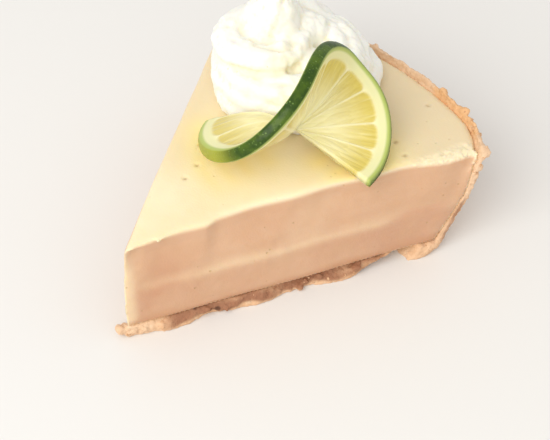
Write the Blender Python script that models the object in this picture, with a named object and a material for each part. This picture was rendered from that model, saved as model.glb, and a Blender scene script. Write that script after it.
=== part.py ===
"""A cut slice of key lime pie: crumb crust, set filling, piped cream swirl and a twisted lime slice.

Metres, +Z up. The slice points towards -Y, stands on z = 0 and has the origin under its middle.
"""

from math import atan2, cos, exp, pi, radians, sin, sqrt

import bmesh
import bpy
import numpy as np
from mathutils import Matrix, Vector, noise

# The slice, cut from a pie baked in a pan with sloping sides.
PAN_TOP_RADIUS = 0.1136
PAN_BASE_RADIUS = 0.0975
HALF_ANGLE = radians(27.4)
FILLING_TOP = 0.0355
BASE_THICKNESS = 0.0042
WALL_FOOT = 0.0038
WALL_TOP = 0.0018
TIP_X, TIP_Y = -0.0021, -0.0562
GAP = 0.0003
LEVELS = (0.009, 0.0145, 0.018, 0.0205, 0.024, 0.0275, 0.031)

# The knife's mark on the cut side that faces +X, as distances from the tip and depths.
LEDGE_HEIGHT = 0.0195
LEDGE_DEPTH = 0.0009
SWELL_FROM, SWELL_TO = 0.003, 0.026
SWELL_OUT = 0.0019
FLARE_FROM = 0.084
FLARE_OUT = 0.0019
TIP_LEAN = 0.0014
EDGE_ROUND = 0.0011
TOP_DIP = 0.0004
TIP_SAG = 0.0009

# Above mid height the +X cut side leans back with its corner of the rim. The rim's far corner has crumbled.
CORNER_ANGLE = radians(20)
CORNER_LOSS = 0.0034
FAR_CORNER = (-PAN_TOP_RADIUS * sin(HALF_ANGLE), PAN_TOP_RADIUS * cos(HALF_ANGLE))
FAR_CORNER_LOSS = (0.0067, -0.0021)
FAR_CORNER_REACH = 0.024

# Crumbs of the crust: size, number and how far they stand out.
CRUMB_SIZE = 0.0019
BASE_CRUMBS = 34
RIM_CRUMBS = 44
CORNER_CRUMBS = 10
TIP_CRUMBS = 6
RIM_RISE = 0.0016
FOOT_OUT, FOOT_WAVE, FOOT_CREST = 0.0015, 0.027, 0.0395
FOOT_LEVEL = 0.0045
NOTCH_FROM, NOTCH_TO = 0.0715, 0.0885
NOTCH_DEPTH = 0.0075
NOTCH_RISE = 0.0050
HOLLOW_FROM, HOLLOW_TO = 0.044, 0.068
HOLLOW_LOW, HOLLOW_HIGH = 0.0022, 0.012
HOLLOW_DEPTH = 0.0020
PITS = (0.0065, 0.0115, 0.0180, 0.0240, 0.0305)
PIT_RADIUS = 0.0014
PIT_DEPTH = 0.0018

# The piped cream: a spread foot, a rope wound into a low ring and then into a smaller coil off to one side,
# and a peaked heart.
CREAM_X, CREAM_Y = TIP_X - 0.0116, TIP_Y + 0.0845
SPREAD_REACH, SPREAD_WIDE, SPREAD_TALL, SPREAD_HEIGHT = 0.0188, 0.0062, 0.0050, 0.0030
SPREAD_WAVE = 0.0007
LOBE_HEADING, LOBE_SPREAD, LOBE_OUT = radians(46), radians(16), 0.0018
ROPE_START = radians(17)
ROPE_SWEEP = radians(775)
RING_REACH, RING_ROPE, RING_HEIGHT = 0.0162, 0.0087, 0.0074
COIL_REACH, COIL_ROPE, COIL_HEIGHT = 0.0100, 0.0055, 0.0160
COIL_OFFSET = (-0.0066, -0.0058)
STEP_FROM, STEP_TO = radians(325), radians(565)
START_OUT = 0.0016
SHOULDER_HEADING, SHOULDER_SPREAD = radians(92), radians(34)
SHOULDER_IN = 0.0030
BACK_HEADING, BACK_SPREAD, BACK_UP = radians(140), radians(30), 0.0035
CURL_FROM = radians(660)
CURL_OUT, CURL_UP, CURL_TAPER = 0.0022, 0.0022, 0.58
TUCK_IN, TUCK_OVER = 0.0040, radians(28)
ROPE_FLUTES = 8
FLUTE_DEPTH = 0.16
FLUTE_TURN = radians(32)
HEART_OFFSET = (-0.0075, -0.0014)
HEART_RADIUS = 0.0106
HEART_FOOT = 0.0130
HEART_SHOULDER = 0.24
HEART_RIDGES = 5
HEART_TWIST = 2.6
PEAK_HEIGHT = 0.0335
PEAK_LEAN = 0.0020
FILLER_RADIUS = 0.0130
CREAM_VOXEL = 0.0010
CREAM_SHARE_KEPT = 0.18

# The lime slice: slit from rim to centre and twisted, so that its rim runs in an S.
LIME_RADIUS = 0.0274
LIME_THICKNESS = 0.0038
LIME_HUB = 0.0008
LIME_REACHES = (0.12, 0.26, 0.42, 0.60, 0.80, 0.975)
LOBE_BOW = 0.0045
END_THINNING = 0.55
LIME_CLEARANCE = 0.0003
LIME_CENTRE = (TIP_X + 0.0078, TIP_Y + 0.0629, FILLING_TOP + 0.0072)
# Heading and lift, in degrees, of spokes from one cut end round to the other.
LIME_SPOKES = ((206, -12), (246, 3), (279, 26), (316, 63), (78, 68), (86, 25), (61, 10), (34, -7), (3, -12))


def clear_scene():
    for obj in list(bpy.data.objects):
        bpy.data.objects.remove(obj, do_unlink=True)


def smooth_step(x):
    x = min(max(x, 0.0), 1.0)
    return x * x * (3 - 2 * x)


def wander(x, y, z, wavelength, seed=0.0):
    """Smooth noise between about -1 and 1 with the given wavelength in metres."""
    return noise.noise(Vector((x / wavelength + seed, y / wavelength - seed, z / wavelength + 0.37 * seed)))


def material(name, colour, roughness):
    made = bpy.data.materials.new(name)
    made.use_nodes = True
    shader = made.node_tree.nodes["Principled BSDF"]
    shader.inputs["Base Color"].default_value = (*colour, 1.0)
    shader.inputs["Roughness"].default_value = roughness
    shader.inputs["Metallic"].default_value = 0.0
    return made


def object_from(bm, name, collection=None):
    bmesh.ops.recalc_face_normals(bm, faces=bm.faces)
    mesh = bpy.data.meshes.new(name)
    bm.to_mesh(mesh)
    bm.free()
    obj = bpy.data.objects.new(name, mesh)
    (collection or bpy.context.scene.collection).objects.link(obj)
    return obj


def loft(name, loops, low_point, high_point, collection=None):
    """A closed solid through loops of equally many points, with a fan to one point at each end."""
    bm = bmesh.new()
    rings = [[bm.verts.new(point) for point in loop] for loop in loops]
    count = len(rings[0])
    for low, high in zip(rings, rings[1:]):
        for i in range(count):
            j = (i + 1) % count
            bm.faces.new((low[i], low[j], high[j], high[i]))
    for ring, point in ((rings[0], low_point), (rings[-1], high_point)):
        centre = bm.verts.new(point)
        for i in range(count):
            bm.faces.new((ring[i], ring[(i + 1) % count], centre))
    return object_from(bm, name, collection)


def apply_modifiers(obj):
    graph = bpy.context.evaluated_depsgraph_get()
    mesh = bpy.data.meshes.new_from_object(obj.evaluated_get(graph))
    obj.modifiers.clear()
    old = obj.data
    obj.data = mesh
    bpy.data.meshes.remove(old)


def boolean(obj, operation, others):
    """Joins to obj, or cuts from it, every solid in the collection, and removes the collection's objects."""
    modifier = obj.modifiers.new(operation.title(), "BOOLEAN")
    modifier.operation = operation
    modifier.operand_type = "COLLECTION"
    modifier.collection = others
    modifier.solver = "EXACT"
    apply_modifiers(obj)
    for other in list(others.objects):
        bpy.data.objects.remove(other, do_unlink=True)
    bpy.data.collections.remove(others)


def new_collection(name):
    made = bpy.data.collections.new(name)
    bpy.context.scene.collection.children.link(made)
    return made


def keep_largest_body(obj):
    """Drops the loose scraps that joining and cutting can leave."""
    bm = bmesh.new()
    bm.from_mesh(obj.data)
    waiting = set(bm.verts)
    bodies = []
    while waiting:
        body = set()
        front = [waiting.pop()]
        while front:
            vert = front.pop()
            body.add(vert)
            near = {edge.other_vert(vert) for edge in vert.link_edges} & waiting
            waiting -= near
            front.extend(near)
        bodies.append(body)
    bodies.sort(key=len)
    for body in bodies[:-1]:
        bmesh.ops.delete(bm, geom=list(body), context="VERTS")
    bm.to_mesh(obj.data)
    bm.free()


def finish(obj, location, finish_material, parent):
    obj.data.materials.clear()
    obj.data.materials.append(finish_material)
    obj.data.shade_smooth()
    obj.data.set_sharp_from_angle(angle=radians(40))
    obj.location = location
    obj.parent = parent


# Plan of the slice


def pan_radius(z):
    """Outer radius of the crust's wall at a height: the pan's side, with a small round at its foot."""
    share = z / FILLING_TOP
    foot = 0.0016 * exp(-z / 0.0012)
    return PAN_BASE_RADIUS + (PAN_TOP_RADIUS - PAN_BASE_RADIUS) * share - foot


def filling_radius(z):
    """Outer radius of the filling at a height: the crust's wall thins towards the rim."""
    z = max(z, BASE_THICKNESS)
    return pan_radius(z) - WALL_FOOT + (WALL_FOOT - WALL_TOP) * z / FILLING_TOP


def sector_plan(reach, inset, cut_steps, arc_steps):
    """Plan of the sector moved in by inset, counter-clockwise from the tip.

    Each entry is (side, share, x, y, normal x, normal y): side is 1 or -1 on a cut side, whose share
    runs from the tip to the wall, and 0 on the arc, whose share is the angle from the middle line.
    """
    apex = inset / sin(HALF_ANGLE)
    length = sqrt(reach**2 - (apex * sin(HALF_ANGLE)) ** 2) - apex * cos(HALF_ANGLE)
    corner = atan2(length * sin(HALF_ANGLE), apex + length * cos(HALF_ANGLE))
    across, along = sin(HALF_ANGLE), cos(HALF_ANGLE)
    plan = [(1, 0.0, 0.0, apex, 0.0, -1.0)]
    for step in range(1, cut_steps):
        share = step / cut_steps
        plan.append((1, share, share * length * across, apex + share * length * along, along, -across))
    for step in range(arc_steps + 1):
        angle = corner * (1 - 2 * step / arc_steps)
        plan.append((0, angle, reach * sin(angle), reach * cos(angle), sin(angle), cos(angle)))
    for step in range(cut_steps - 1, 0, -1):
        share = step / cut_steps
        plan.append((-1, share, -share * length * across, apex + share * length * along, -along, -across))
    return plan


def window(x, start, end, ease):
    """1 between start and end, falling to 0 over ease outside them."""
    return smooth_step((x - start) / ease + 1) * smooth_step((end - x) / ease + 1)


def knife_mark(side, share, z):
    """How far the filling stands out from the plane of a cut side, and from the tip."""
    if side == 0:
        return 0.0
    distance = share * PAN_TOP_RADIUS
    high = smooth_step(z / FILLING_TOP / 0.5 - 1)
    near_tip = smooth_step(1 - distance / 0.004)
    lean = -TIP_LEAN * high * near_tip
    if side == -1:
        return lean
    ledge = -LEDGE_DEPTH * smooth_step((z - LEDGE_HEIGHT) / 0.003 + 0.5) * smooth_step(distance / 0.012)
    swell = SWELL_OUT * high * window(distance, SWELL_FROM + 0.003, SWELL_TO, 0.004)
    flare = FLARE_OUT * high * smooth_step((distance - FLARE_FROM) / 0.018)
    ripple = 0.0004 * high * sin(2 * pi * distance / 0.024)
    return lean + ledge + swell + flare + ripple


def corner_loss(x, y, z):
    """How far the +X cut side, with its corner of the rim, leans back."""
    near = smooth_step((atan2(x, y) - CORNER_ANGLE) / (HALF_ANGLE - CORNER_ANGLE))
    return CORNER_LOSS * near * smooth_step((z - 0.020) / 0.014)


def crumble_corner(x, y, z):
    """Moves a place near the rim's far corner inwards, by what has crumbled away there."""
    away = sqrt((x - FAR_CORNER[0]) ** 2 + (y - FAR_CORNER[1]) ** 2)
    share = smooth_step(1 - away / FAR_CORNER_REACH) * smooth_step((z - 0.012) / 0.020)
    return x + share * FAR_CORNER_LOSS[0], y + share * FAR_CORNER_LOSS[1], z


def top_dip(x, y):
    """Depth of the shallow hollows in the filling's smoothed top, which also sags towards the tip."""
    return TOP_DIP * (0.5 + 0.5 * wander(x, y, 0.0, 0.021, 4.0)) + TIP_SAG * smooth_step(1 - y / 0.026)


# Filling


def filling_loop(inset, z, cut_steps, arc_steps, sag=0.0):
    loop = []
    for side, share, x, y, nx, ny in sector_plan(filling_radius(z) - inset, inset, cut_steps, arc_steps):
        out = 0.0004 * wander(x, y, z, 0.016, 2.0) if side else 0.0
        out += knife_mark(side, share, z) - corner_loss(x, y, z)
        loop.append(crumble_corner(x + out * nx, y + out * ny, z - sag * top_dip(x, y)))
    return loop


def shrunk(loop, centre, keep):
    """The loop drawn in towards a plan centre, laid on the filling's dipped top."""
    drawn = []
    for x, y, _ in loop:
        px, py = centre[0] + (x - centre[0]) * keep, centre[1] + (y - centre[1]) * keep
        drawn.append((px, py, FILLING_TOP - top_dip(px, py)))
    return drawn


def make_filling(cut_steps=30, arc_steps=24):
    bottom = BASE_THICKNESS + GAP
    loops = [filling_loop(0.0, z, cut_steps, arc_steps) for z in (bottom, *LEVELS)]
    for turn in (0, 30, 60, 90):
        inset = EDGE_ROUND * (1 - cos(radians(turn)))
        height = FILLING_TOP - EDGE_ROUND * (1 - sin(radians(turn)))
        loops.append(filling_loop(inset, height, cut_steps, arc_steps, sag=1.0))
    centre = (0.0, 0.62 * PAN_TOP_RADIUS)
    top = loops[-1]
    loops += [shrunk(top, centre, keep) for keep in (0.94, 0.80, 0.62, 0.42, 0.20)]
    high = (*centre, FILLING_TOP - top_dip(*centre))
    return loft("filling", loops, (*centre, bottom), high)


# Crust


def crust_loss(distance, z):
    """Depth of what has crumbled out of the +X cut side's crust, at a distance from the tip."""
    edge = 0.002
    notch_top = NOTCH_RISE * (distance - NOTCH_FROM) / (NOTCH_TO - NOTCH_FROM - edge)
    notch = NOTCH_DEPTH * window(distance, NOTCH_FROM + edge, NOTCH_TO - edge, edge)
    notch *= smooth_step((notch_top - z) / 0.001 + 0.5)
    hollow = HOLLOW_DEPTH * window(distance, HOLLOW_FROM, HOLLOW_TO, 2 * edge)
    hollow *= window(z, HOLLOW_LOW, HOLLOW_HIGH, 0.0012)
    pit = 0.0
    for place in PITS:
        away = sqrt((distance - place) ** 2 + (z - BASE_THICKNESS) ** 2) / PIT_RADIUS
        pit = max(pit, PIT_DEPTH * smooth_step(1.3 - away))
    return max(notch, hollow, pit)


def crust_relief(side, share, x, y, z):
    """How far the crumb crust stands out from its plain form."""
    rough = 0.0006 * wander(x, y, z, 0.0050, 7.0) + 0.0003 * wander(x, y, z, 0.0024, 9.0)
    if side == 0:
        return rough - corner_loss(x, y, z)
    distance = share * PAN_BASE_RADIUS
    wave = 0.45 + 0.55 * cos(2 * pi * (distance - FOOT_CREST) / FOOT_WAVE)
    foot = FOOT_OUT * wave * smooth_step((FOOT_LEVEL - z) / 0.003)
    loss = crust_loss(distance, z) if side == 1 else 0.0
    return 1.6 * rough + foot - loss


def crust_loop(inset, z, cut_steps, arc_steps, lift=0.0):
    loop = []
    for side, share, x, y, nx, ny in sector_plan(pan_radius(z) - inset, inset, cut_steps, arc_steps):
        out = crust_relief(side, share, x, y, z)
        up = lift * (0.45 + 0.9 * wander(x, y, z, 0.0042, 5.0))
        loop.append(crumble_corner(x + out * nx, y + out * ny, z + up))
    return loop


def crumb(collection, draw, place, size):
    """One angular crumb with its centre at place."""
    bm = bmesh.new()
    bmesh.ops.create_icosphere(bm, subdivisions=1, radius=1.0)
    stretch = size * draw.uniform(0.65, 1.25, 3)
    turn = draw.uniform(0, 2 * pi)
    for vert in bm.verts:
        knock = draw.uniform(0.85, 1.15)
        x, y, z = (vert.co[i] * stretch[i] * knock for i in range(3))
        x, y = x * cos(turn) - y * sin(turn), x * sin(turn) + y * cos(turn)
        vert.co = (place[0] + x, place[1] + y, place[2] + z)
    object_from(bm, f"crumb_{len(collection.objects)}", collection)


def scatter_crumbs(collection):
    """Crumbs along both cut feet, along the rim and at the broken corner of the rim."""
    draw = np.random.default_rng(31)
    across, along = sin(HALF_ANGLE), cos(HALF_ANGLE)
    for side in (1, -1):
        for step in range(BASE_CRUMBS):
            distance = PAN_BASE_RADIUS * (step + draw.uniform(0.1, 0.9)) / BASE_CRUMBS
            if side == 1 and NOTCH_FROM < distance < NOTCH_TO:
                continue
            size = CRUMB_SIZE * draw.uniform(0.45, 0.85)
            out = draw.uniform(-0.6, 0.25) * size
            x, y = side * (distance * across + out * along), distance * along - out * across
            crumb(collection, draw, (x, y, draw.uniform(0.0006, 0.0036)), size)
    for _ in range(TIP_CRUMBS):
        place = (draw.uniform(-0.0030, 0.0002), draw.uniform(-0.0010, 0.0022), draw.uniform(0.0010, 0.0034))
        crumb(collection, draw, place, 0.9 * CRUMB_SIZE)
    for step in range(RIM_CRUMBS):
        angle = HALF_ANGLE * (2 * (step + draw.uniform(0.1, 0.9)) / RIM_CRUMBS - 1)
        size = CRUMB_SIZE * draw.uniform(0.45, 0.9)
        x, y = PAN_TOP_RADIUS * sin(angle), PAN_TOP_RADIUS * cos(angle)
        reach = PAN_TOP_RADIUS - draw.uniform(-0.0002, 0.0018) - corner_loss(x, y, FILLING_TOP)
        height = FILLING_TOP + draw.uniform(-0.0022, 0.0010)
        crumb(collection, draw, crumble_corner(reach * sin(angle), reach * cos(angle), height), size)
    for _ in range(CORNER_CRUMBS):
        angle = HALF_ANGLE - draw.uniform(0.0, 0.09)
        height = FILLING_TOP - draw.uniform(-0.0008, 0.0075)
        reach = pan_radius(height) - draw.uniform(-0.0004, 0.0018) - 0.8 * CORNER_LOSS
        crumb(collection, draw, (reach * sin(angle), reach * cos(angle), height), CRUMB_SIZE)


def filling_room(collection, arc_steps):
    """The space the filling takes, carried past the cut sides and above the rim."""
    past = -0.009
    loops = []
    for z in (BASE_THICKNESS, *LEVELS, FILLING_TOP, FILLING_TOP + 0.010):
        reach = filling_radius(min(z, FILLING_TOP)) + GAP
        loop = []
        for _, _, x, y, nx, ny in sector_plan(reach, past, 2, arc_steps):
            loss = corner_loss(x, y, z)
            loop.append(crumble_corner(x - loss * nx, y - loss * ny, z))
        loops.append(loop)
    centre = (0.0, 0.05)
    loft("filling_room", loops, (*centre, BASE_THICKNESS), (*centre, loops[-1][0][2]), collection)


def below_ground(collection):
    """What lies under z = 0, so that the crust's foot is cut flat."""
    bm = bmesh.new()
    bmesh.ops.create_cube(bm, size=0.3)
    for vert in bm.verts:
        vert.co.z -= 0.15
        vert.co.y += 0.06
    object_from(bm, "below_ground", collection)


def make_crust(cut_steps=36, arc_steps=40):
    heights = (-0.001, 0.0012, 0.0026, 0.0042, 0.0064, 0.012, 0.019, 0.027, 0.032, FILLING_TOP)
    loops = [crust_loop(0.0, z, cut_steps, arc_steps) for z in heights]
    loops.append(crust_loop(0.0006, FILLING_TOP + 0.0003, cut_steps, arc_steps, RIM_RISE))
    loops.append(crust_loop(0.0016, FILLING_TOP + 0.0003, cut_steps, arc_steps, RIM_RISE))
    loops.append(crust_loop(0.0040, FILLING_TOP, cut_steps, arc_steps))
    centre = (0.0, 0.07)
    crust = loft("crust", loops, (*centre, heights[0]), (*centre, FILLING_TOP))
    crumbs = new_collection("crumbs")
    scatter_crumbs(crumbs)
    boolean(crust, "UNION", crumbs)
    cutters = new_collection("cutters")
    filling_room(cutters, 24)
    below_ground(cutters)
    boolean(crust, "DIFFERENCE", cutters)
    keep_largest_body(crust)
    return crust


# Cream


def rope_point(t):
    """Middle of the cream rope and its heading from the coil's centre; t runs from 0 to 1 along the rope."""
    turned = ROPE_SWEEP * t
    angle = ROPE_START + turned
    step = smooth_step((turned - STEP_FROM) / (STEP_TO - STEP_FROM))
    curl = smooth_step((turned - CURL_FROM) / (ROPE_SWEEP - CURL_FROM))
    shoulder = (1 - step) * exp(-(((angle - SHOULDER_HEADING) / SHOULDER_SPREAD) ** 2))
    back = (1 - step) * exp(-(((angle - BACK_HEADING) / BACK_SPREAD) ** 2))
    reach = RING_REACH + (COIL_REACH - RING_REACH) * step - SHOULDER_IN * shoulder
    reach += START_OUT * (1 - smooth_step(turned / radians(45))) + CURL_OUT * curl
    reach -= TUCK_IN * smooth_step((turned - ROPE_SWEEP) / TUCK_OVER + 1)
    height = RING_HEIGHT + (COIL_HEIGHT - RING_HEIGHT) * step + CURL_UP * curl + BACK_UP * back
    x = reach * cos(angle) + COIL_OFFSET[0] * step
    y = reach * sin(angle) + COIL_OFFSET[1] * step
    return Vector((x, y, height)), angle


def rope_radius(t):
    """The rope starts round, thins on the coil and tapers in its curl."""
    turned = ROPE_SWEEP * t
    step = smooth_step((turned - STEP_FROM) / (STEP_TO - STEP_FROM))
    curl = smooth_step((turned - CURL_FROM) / (ROPE_SWEEP - CURL_FROM))
    start = sqrt(smooth_step((turned + 0.06) / 0.9))
    return (RING_ROPE + (COIL_ROPE - RING_ROPE) * step) * start * (1 - CURL_TAPER * curl)


def rope_section(t, around):
    """Points of the star-shaped section at t: rounded ridges with sharp valleys between them."""
    middle, angle = rope_point(t)
    ahead = (rope_point(t + 0.002)[0] - rope_point(t - 0.002)[0]).normalized()
    outward = Vector((cos(angle), sin(angle), 0.0))
    outward = (outward - outward.dot(ahead) * ahead).normalized()
    upward = outward.cross(ahead)
    points = []
    for step in range(around):
        turn = 2 * pi * step / around
        ridge = abs(sin(ROPE_FLUTES / 2 * (turn + FLUTE_TURN)))
        size = rope_radius(t) * (1 - FLUTE_DEPTH * (1 - ridge) ** 1.5)
        lean = turn + 0.5 * t
        points.append(middle + size * (cos(lean) * outward + sin(lean) * upward))
    return points


def heart_loop(height, radius, around):
    """One level of the heart, which leans, is wider towards -X and carries ridges that wind up it."""
    share = (height - HEART_FOOT) / (PEAK_HEIGHT - HEART_FOOT)
    lean = PEAK_LEAN * max(share, 0.0) ** 2
    loop = []
    for step in range(around):
        angle = 2 * pi * step / around
        ridge = abs(sin(HEART_RIDGES / 2 * angle - HEART_TWIST * share))
        size = radius * (1 - FLUTE_DEPTH * (1 - ridge) ** 1.5)
        size *= 1 + HEART_SHOULDER * (1 - share) * max(-cos(angle), 0.0)
        x, y = HEART_OFFSET[0] + lean + size * cos(angle), HEART_OFFSET[1] + lean + size * sin(angle)
        loop.append((x, y, height))
    return loop


def make_heart(levels=18, around=40):
    """The mound inside the coil, which ends in the peak left where the piping stopped."""
    loops = [heart_loop(0.002, HEART_RADIUS, around)]
    for level in range(levels):
        share = level / levels
        height = HEART_FOOT + (PEAK_HEIGHT - HEART_FOOT) * share
        loops.append(heart_loop(height, HEART_RADIUS * (1 - share**1.9) + 0.0008 * share, around))
    low = (HEART_OFFSET[0], HEART_OFFSET[1], 0.002)
    high = (HEART_OFFSET[0] + PEAK_LEAN, HEART_OFFSET[1] + PEAK_LEAN, PEAK_HEIGHT)
    return loft("heart", loops, low, high)


def make_filler():
    """The mound that closes the eye of the ring."""
    bm = bmesh.new()
    bmesh.ops.create_uvsphere(bm, u_segments=32, v_segments=16, radius=FILLER_RADIUS)
    return object_from(bm, "filler")


def make_spread(lengthwise=90, around=24):
    """The foot, which has slumped outwards under the weight of the ring."""
    bm = bmesh.new()
    rings = []
    for station in range(lengthwise):
        heading = 2 * pi * station / lengthwise
        wave = SPREAD_WAVE * (sin(3 * heading + 0.4) + 0.6 * sin(7 * heading))
        wave += LOBE_OUT * exp(-(((heading - LOBE_HEADING) / LOBE_SPREAD) ** 2))
        ring = []
        for step in range(around):
            turn = 2 * pi * step / around
            reach = SPREAD_REACH + wave + SPREAD_WIDE * cos(turn)
            point = (reach * cos(heading), reach * sin(heading), SPREAD_HEIGHT + SPREAD_TALL * sin(turn))
            ring.append(bm.verts.new(point))
        rings.append(ring)
    for low, high in zip(rings, rings[1:] + rings[:1]):
        for i in range(around):
            j = (i + 1) % around
            bm.faces.new((low[i], low[j], high[j], high[i]))
    return object_from(bm, "spread")


def merge_into(obj, others):
    """Adds the others' faces to obj's mesh and removes the others."""
    bm = bmesh.new()
    bm.from_mesh(obj.data)
    for other in others:
        bm.from_mesh(other.data)
        bpy.data.objects.remove(other, do_unlink=True)
    bm.to_mesh(obj.data)
    bm.free()


def cut_flat(obj):
    """Cuts a solid off at its own z = 0 and closes it with a flat face."""
    bm = bmesh.new()
    bm.from_mesh(obj.data)
    everything = list(bm.verts) + list(bm.edges) + list(bm.faces)
    up = (0, 0, 1)
    cut = bmesh.ops.bisect_plane(bm, geom=everything, plane_co=(0, 0, 0), plane_no=up, clear_inner=True)
    rim = [edge for edge in cut["geom_cut"] if isinstance(edge, bmesh.types.BMEdge)]
    bmesh.ops.triangle_fill(bm, edges=rim, use_beauty=True)
    bmesh.ops.recalc_face_normals(bm, faces=bm.faces)
    bm.to_mesh(obj.data)
    bm.free()


def make_cream(lengthwise=150, around=40):
    loops = [rope_section(i / (lengthwise - 1), around) for i in range(lengthwise)]
    cream = loft("whipped_cream", loops, rope_point(0.0)[0], rope_point(1.0)[0])
    merge_into(cream, [make_heart(), make_filler(), make_spread()])
    remesh = cream.modifiers.new("Melt together", "REMESH")
    remesh.mode = "VOXEL"
    remesh.voxel_size = CREAM_VOXEL
    decimate = cream.modifiers.new("Thin out", "DECIMATE")
    decimate.ratio = CREAM_SHARE_KEPT
    apply_modifiers(cream)
    cut_flat(cream)
    press_lime_into(cream)
    keep_largest_body(cream)
    return cream


def press_lime_into(cream):
    """Cuts the place of the lime slice, with a little clearance, out of the cream."""
    cutters = new_collection("cutters")
    cutter = make_lime(LIME_CLEARANCE, cutters)
    shift = [LIME_CENTRE[0] - CREAM_X, LIME_CENTRE[1] - CREAM_Y, LIME_CENTRE[2] - FILLING_TOP - GAP]
    cutter.data.transform(Matrix.Translation(shift))
    boolean(cream, "DIFFERENCE", cutters)


# Lime slice


def spline(points, count):
    """Natural cubic spline through evenly spaced points, read at count places."""
    last = len(points) - 1
    system = 4 * np.eye(last + 1) + np.eye(last + 1, k=1) + np.eye(last + 1, k=-1)
    system[0], system[last] = np.eye(last + 1)[0], np.eye(last + 1)[last]
    pull = np.zeros_like(points)
    pull[1:-1] = 6 * (points[2:] - 2 * points[1:-1] + points[:-2])
    bend = np.linalg.solve(system, pull)
    place = np.linspace(0, last, count)
    start = np.minimum(place.astype(int), last - 1)
    u = (place - start)[:, None]
    v = 1 - u
    straight = v * points[start] + u * points[start + 1]
    return straight + ((v**3 - v) * bend[start] + (u**3 - u) * bend[start + 1]) / 6


def lime_spokes(count):
    """Unit vectors from the slice's centre to its rim, and the slice's face normal along each."""
    heading, lift = np.radians(np.array(LIME_SPOKES, float)).T
    named = np.stack([np.cos(lift) * np.cos(heading), np.cos(lift) * np.sin(heading), np.sin(lift)], axis=1)
    spokes = spline(named, count)
    spokes /= np.linalg.norm(spokes, axis=1)[:, None]
    normals = np.cross(spokes, np.gradient(spokes, axis=0))
    normals /= np.linalg.norm(normals, axis=1)[:, None]
    return spokes, normals


def lime_row(spoke, normal, bow, front, clearance):
    """Points round the slice's section along one spoke: out over one face, round the rind and back.

    front is the share of its thickness that the first face keeps.
    """
    faces = []
    for reach in LIME_REACHES:
        half = (LIME_HUB + (LIME_THICKNESS - LIME_HUB) * smooth_step(reach / 0.4)) / 2
        raised = np.array((0.0, 0.0, bow * sin(pi * reach**0.8)))
        faces.append((spoke * LIME_RADIUS * reach + raised, half))
    row = [place + normal * (front * half + clearance) for place, half in faces]
    for depth in (0.6, 0.0, -0.6):
        reach = LIME_RADIUS * (1.012 - 0.012 * abs(depth)) + clearance
        half = LIME_THICKNESS / 2 * (front if depth > 0 else 1) + clearance
        row.append(spoke * reach + normal * half * depth)
    return row + [place - normal * (half + clearance) for place, half in reversed(faces)]


def make_lime(clearance=0.0, collection=None, stations=64):
    """The twisted slice, or with a clearance the space it needs."""
    spokes, normals = lime_spokes(stations)
    middle = normals.mean(axis=0)
    bm = bmesh.new()
    hub = [bm.verts.new(middle * side * (LIME_HUB / 2 + clearance)) for side in (1, -1)]
    rows = []
    for station, (spoke, normal) in enumerate(zip(spokes, normals)):
        share = station / (stations - 1)
        bow = LOBE_BOW * (1 - smooth_step((share - 0.05) / 0.22))
        front = 1 - END_THINNING * smooth_step((share - 0.86) / 0.14)
        rows.append([bm.verts.new(point) for point in lime_row(spoke, normal, bow, front, clearance)])
    for left, right in zip(rows, rows[1:]):
        bm.faces.new((hub[0], left[0], right[0]))
        for k in range(len(left) - 1):
            bm.faces.new((left[k], left[k + 1], right[k + 1], right[k]))
        bm.faces.new((hub[1], right[-1], left[-1]))
    for row, turn in ((rows[0], 1), (rows[-1], -1)):
        ring = [hub[0], *row, hub[1]]
        last = len(ring) - 1
        for k in range(last // 2 - 1):
            bm.faces.new([ring[k], ring[last - k], ring[last - k - 1], ring[k + 1]][::turn])
        bm.faces.new([ring[last // 2 - 1], ring[last // 2 + 1], ring[last // 2]][::turn])
    return object_from(bm, "lime_twist", collection)


def main():
    clear_scene()
    slice_origin = bpy.data.objects.new("slice_origin", None)
    bpy.context.scene.collection.objects.link(slice_origin)
    tip = (TIP_X, TIP_Y, 0.0)
    finish(make_crust(), tip, material("crumb crust", (0.55, 0.30, 0.11), 0.85), slice_origin)
    finish(make_filling(), tip, material("key lime filling", (0.90, 0.77, 0.50), 0.45), slice_origin)
    cream_place = (CREAM_X, CREAM_Y, FILLING_TOP + GAP)
    finish(make_cream(), cream_place, material("whipped cream", (0.93, 0.91, 0.84), 0.40), slice_origin)
    finish(make_lime(), LIME_CENTRE, material("lime", (0.55, 0.60, 0.16), 0.30), slice_origin)


main()
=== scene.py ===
"""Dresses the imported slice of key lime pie: filling, crust, loose crumbs, piped cream and twisted lime."""

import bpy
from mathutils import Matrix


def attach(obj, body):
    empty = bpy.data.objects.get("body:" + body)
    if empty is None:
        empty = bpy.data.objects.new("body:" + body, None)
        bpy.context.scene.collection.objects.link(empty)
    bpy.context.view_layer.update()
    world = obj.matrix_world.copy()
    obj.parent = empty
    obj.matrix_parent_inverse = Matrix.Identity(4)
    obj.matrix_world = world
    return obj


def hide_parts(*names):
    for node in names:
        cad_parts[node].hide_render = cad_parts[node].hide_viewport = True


bl_info = {
    "name": "Key lime pie slice",
    "version": (1, 0, 0),
    "blender": (4, 5, 0),
    "location": "3D View > Sidebar > Pie",
    "description": "Builds the dressed key lime pie slice over its packed solids",
    "category": "Object",
}

from math import cos, pi, radians, sin, sqrt

import bmesh
import bpy
import numpy as np
from bpy.props import FloatProperty, FloatVectorProperty, IntProperty, PointerProperty
from mathutils import Matrix, Vector, noise

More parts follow.
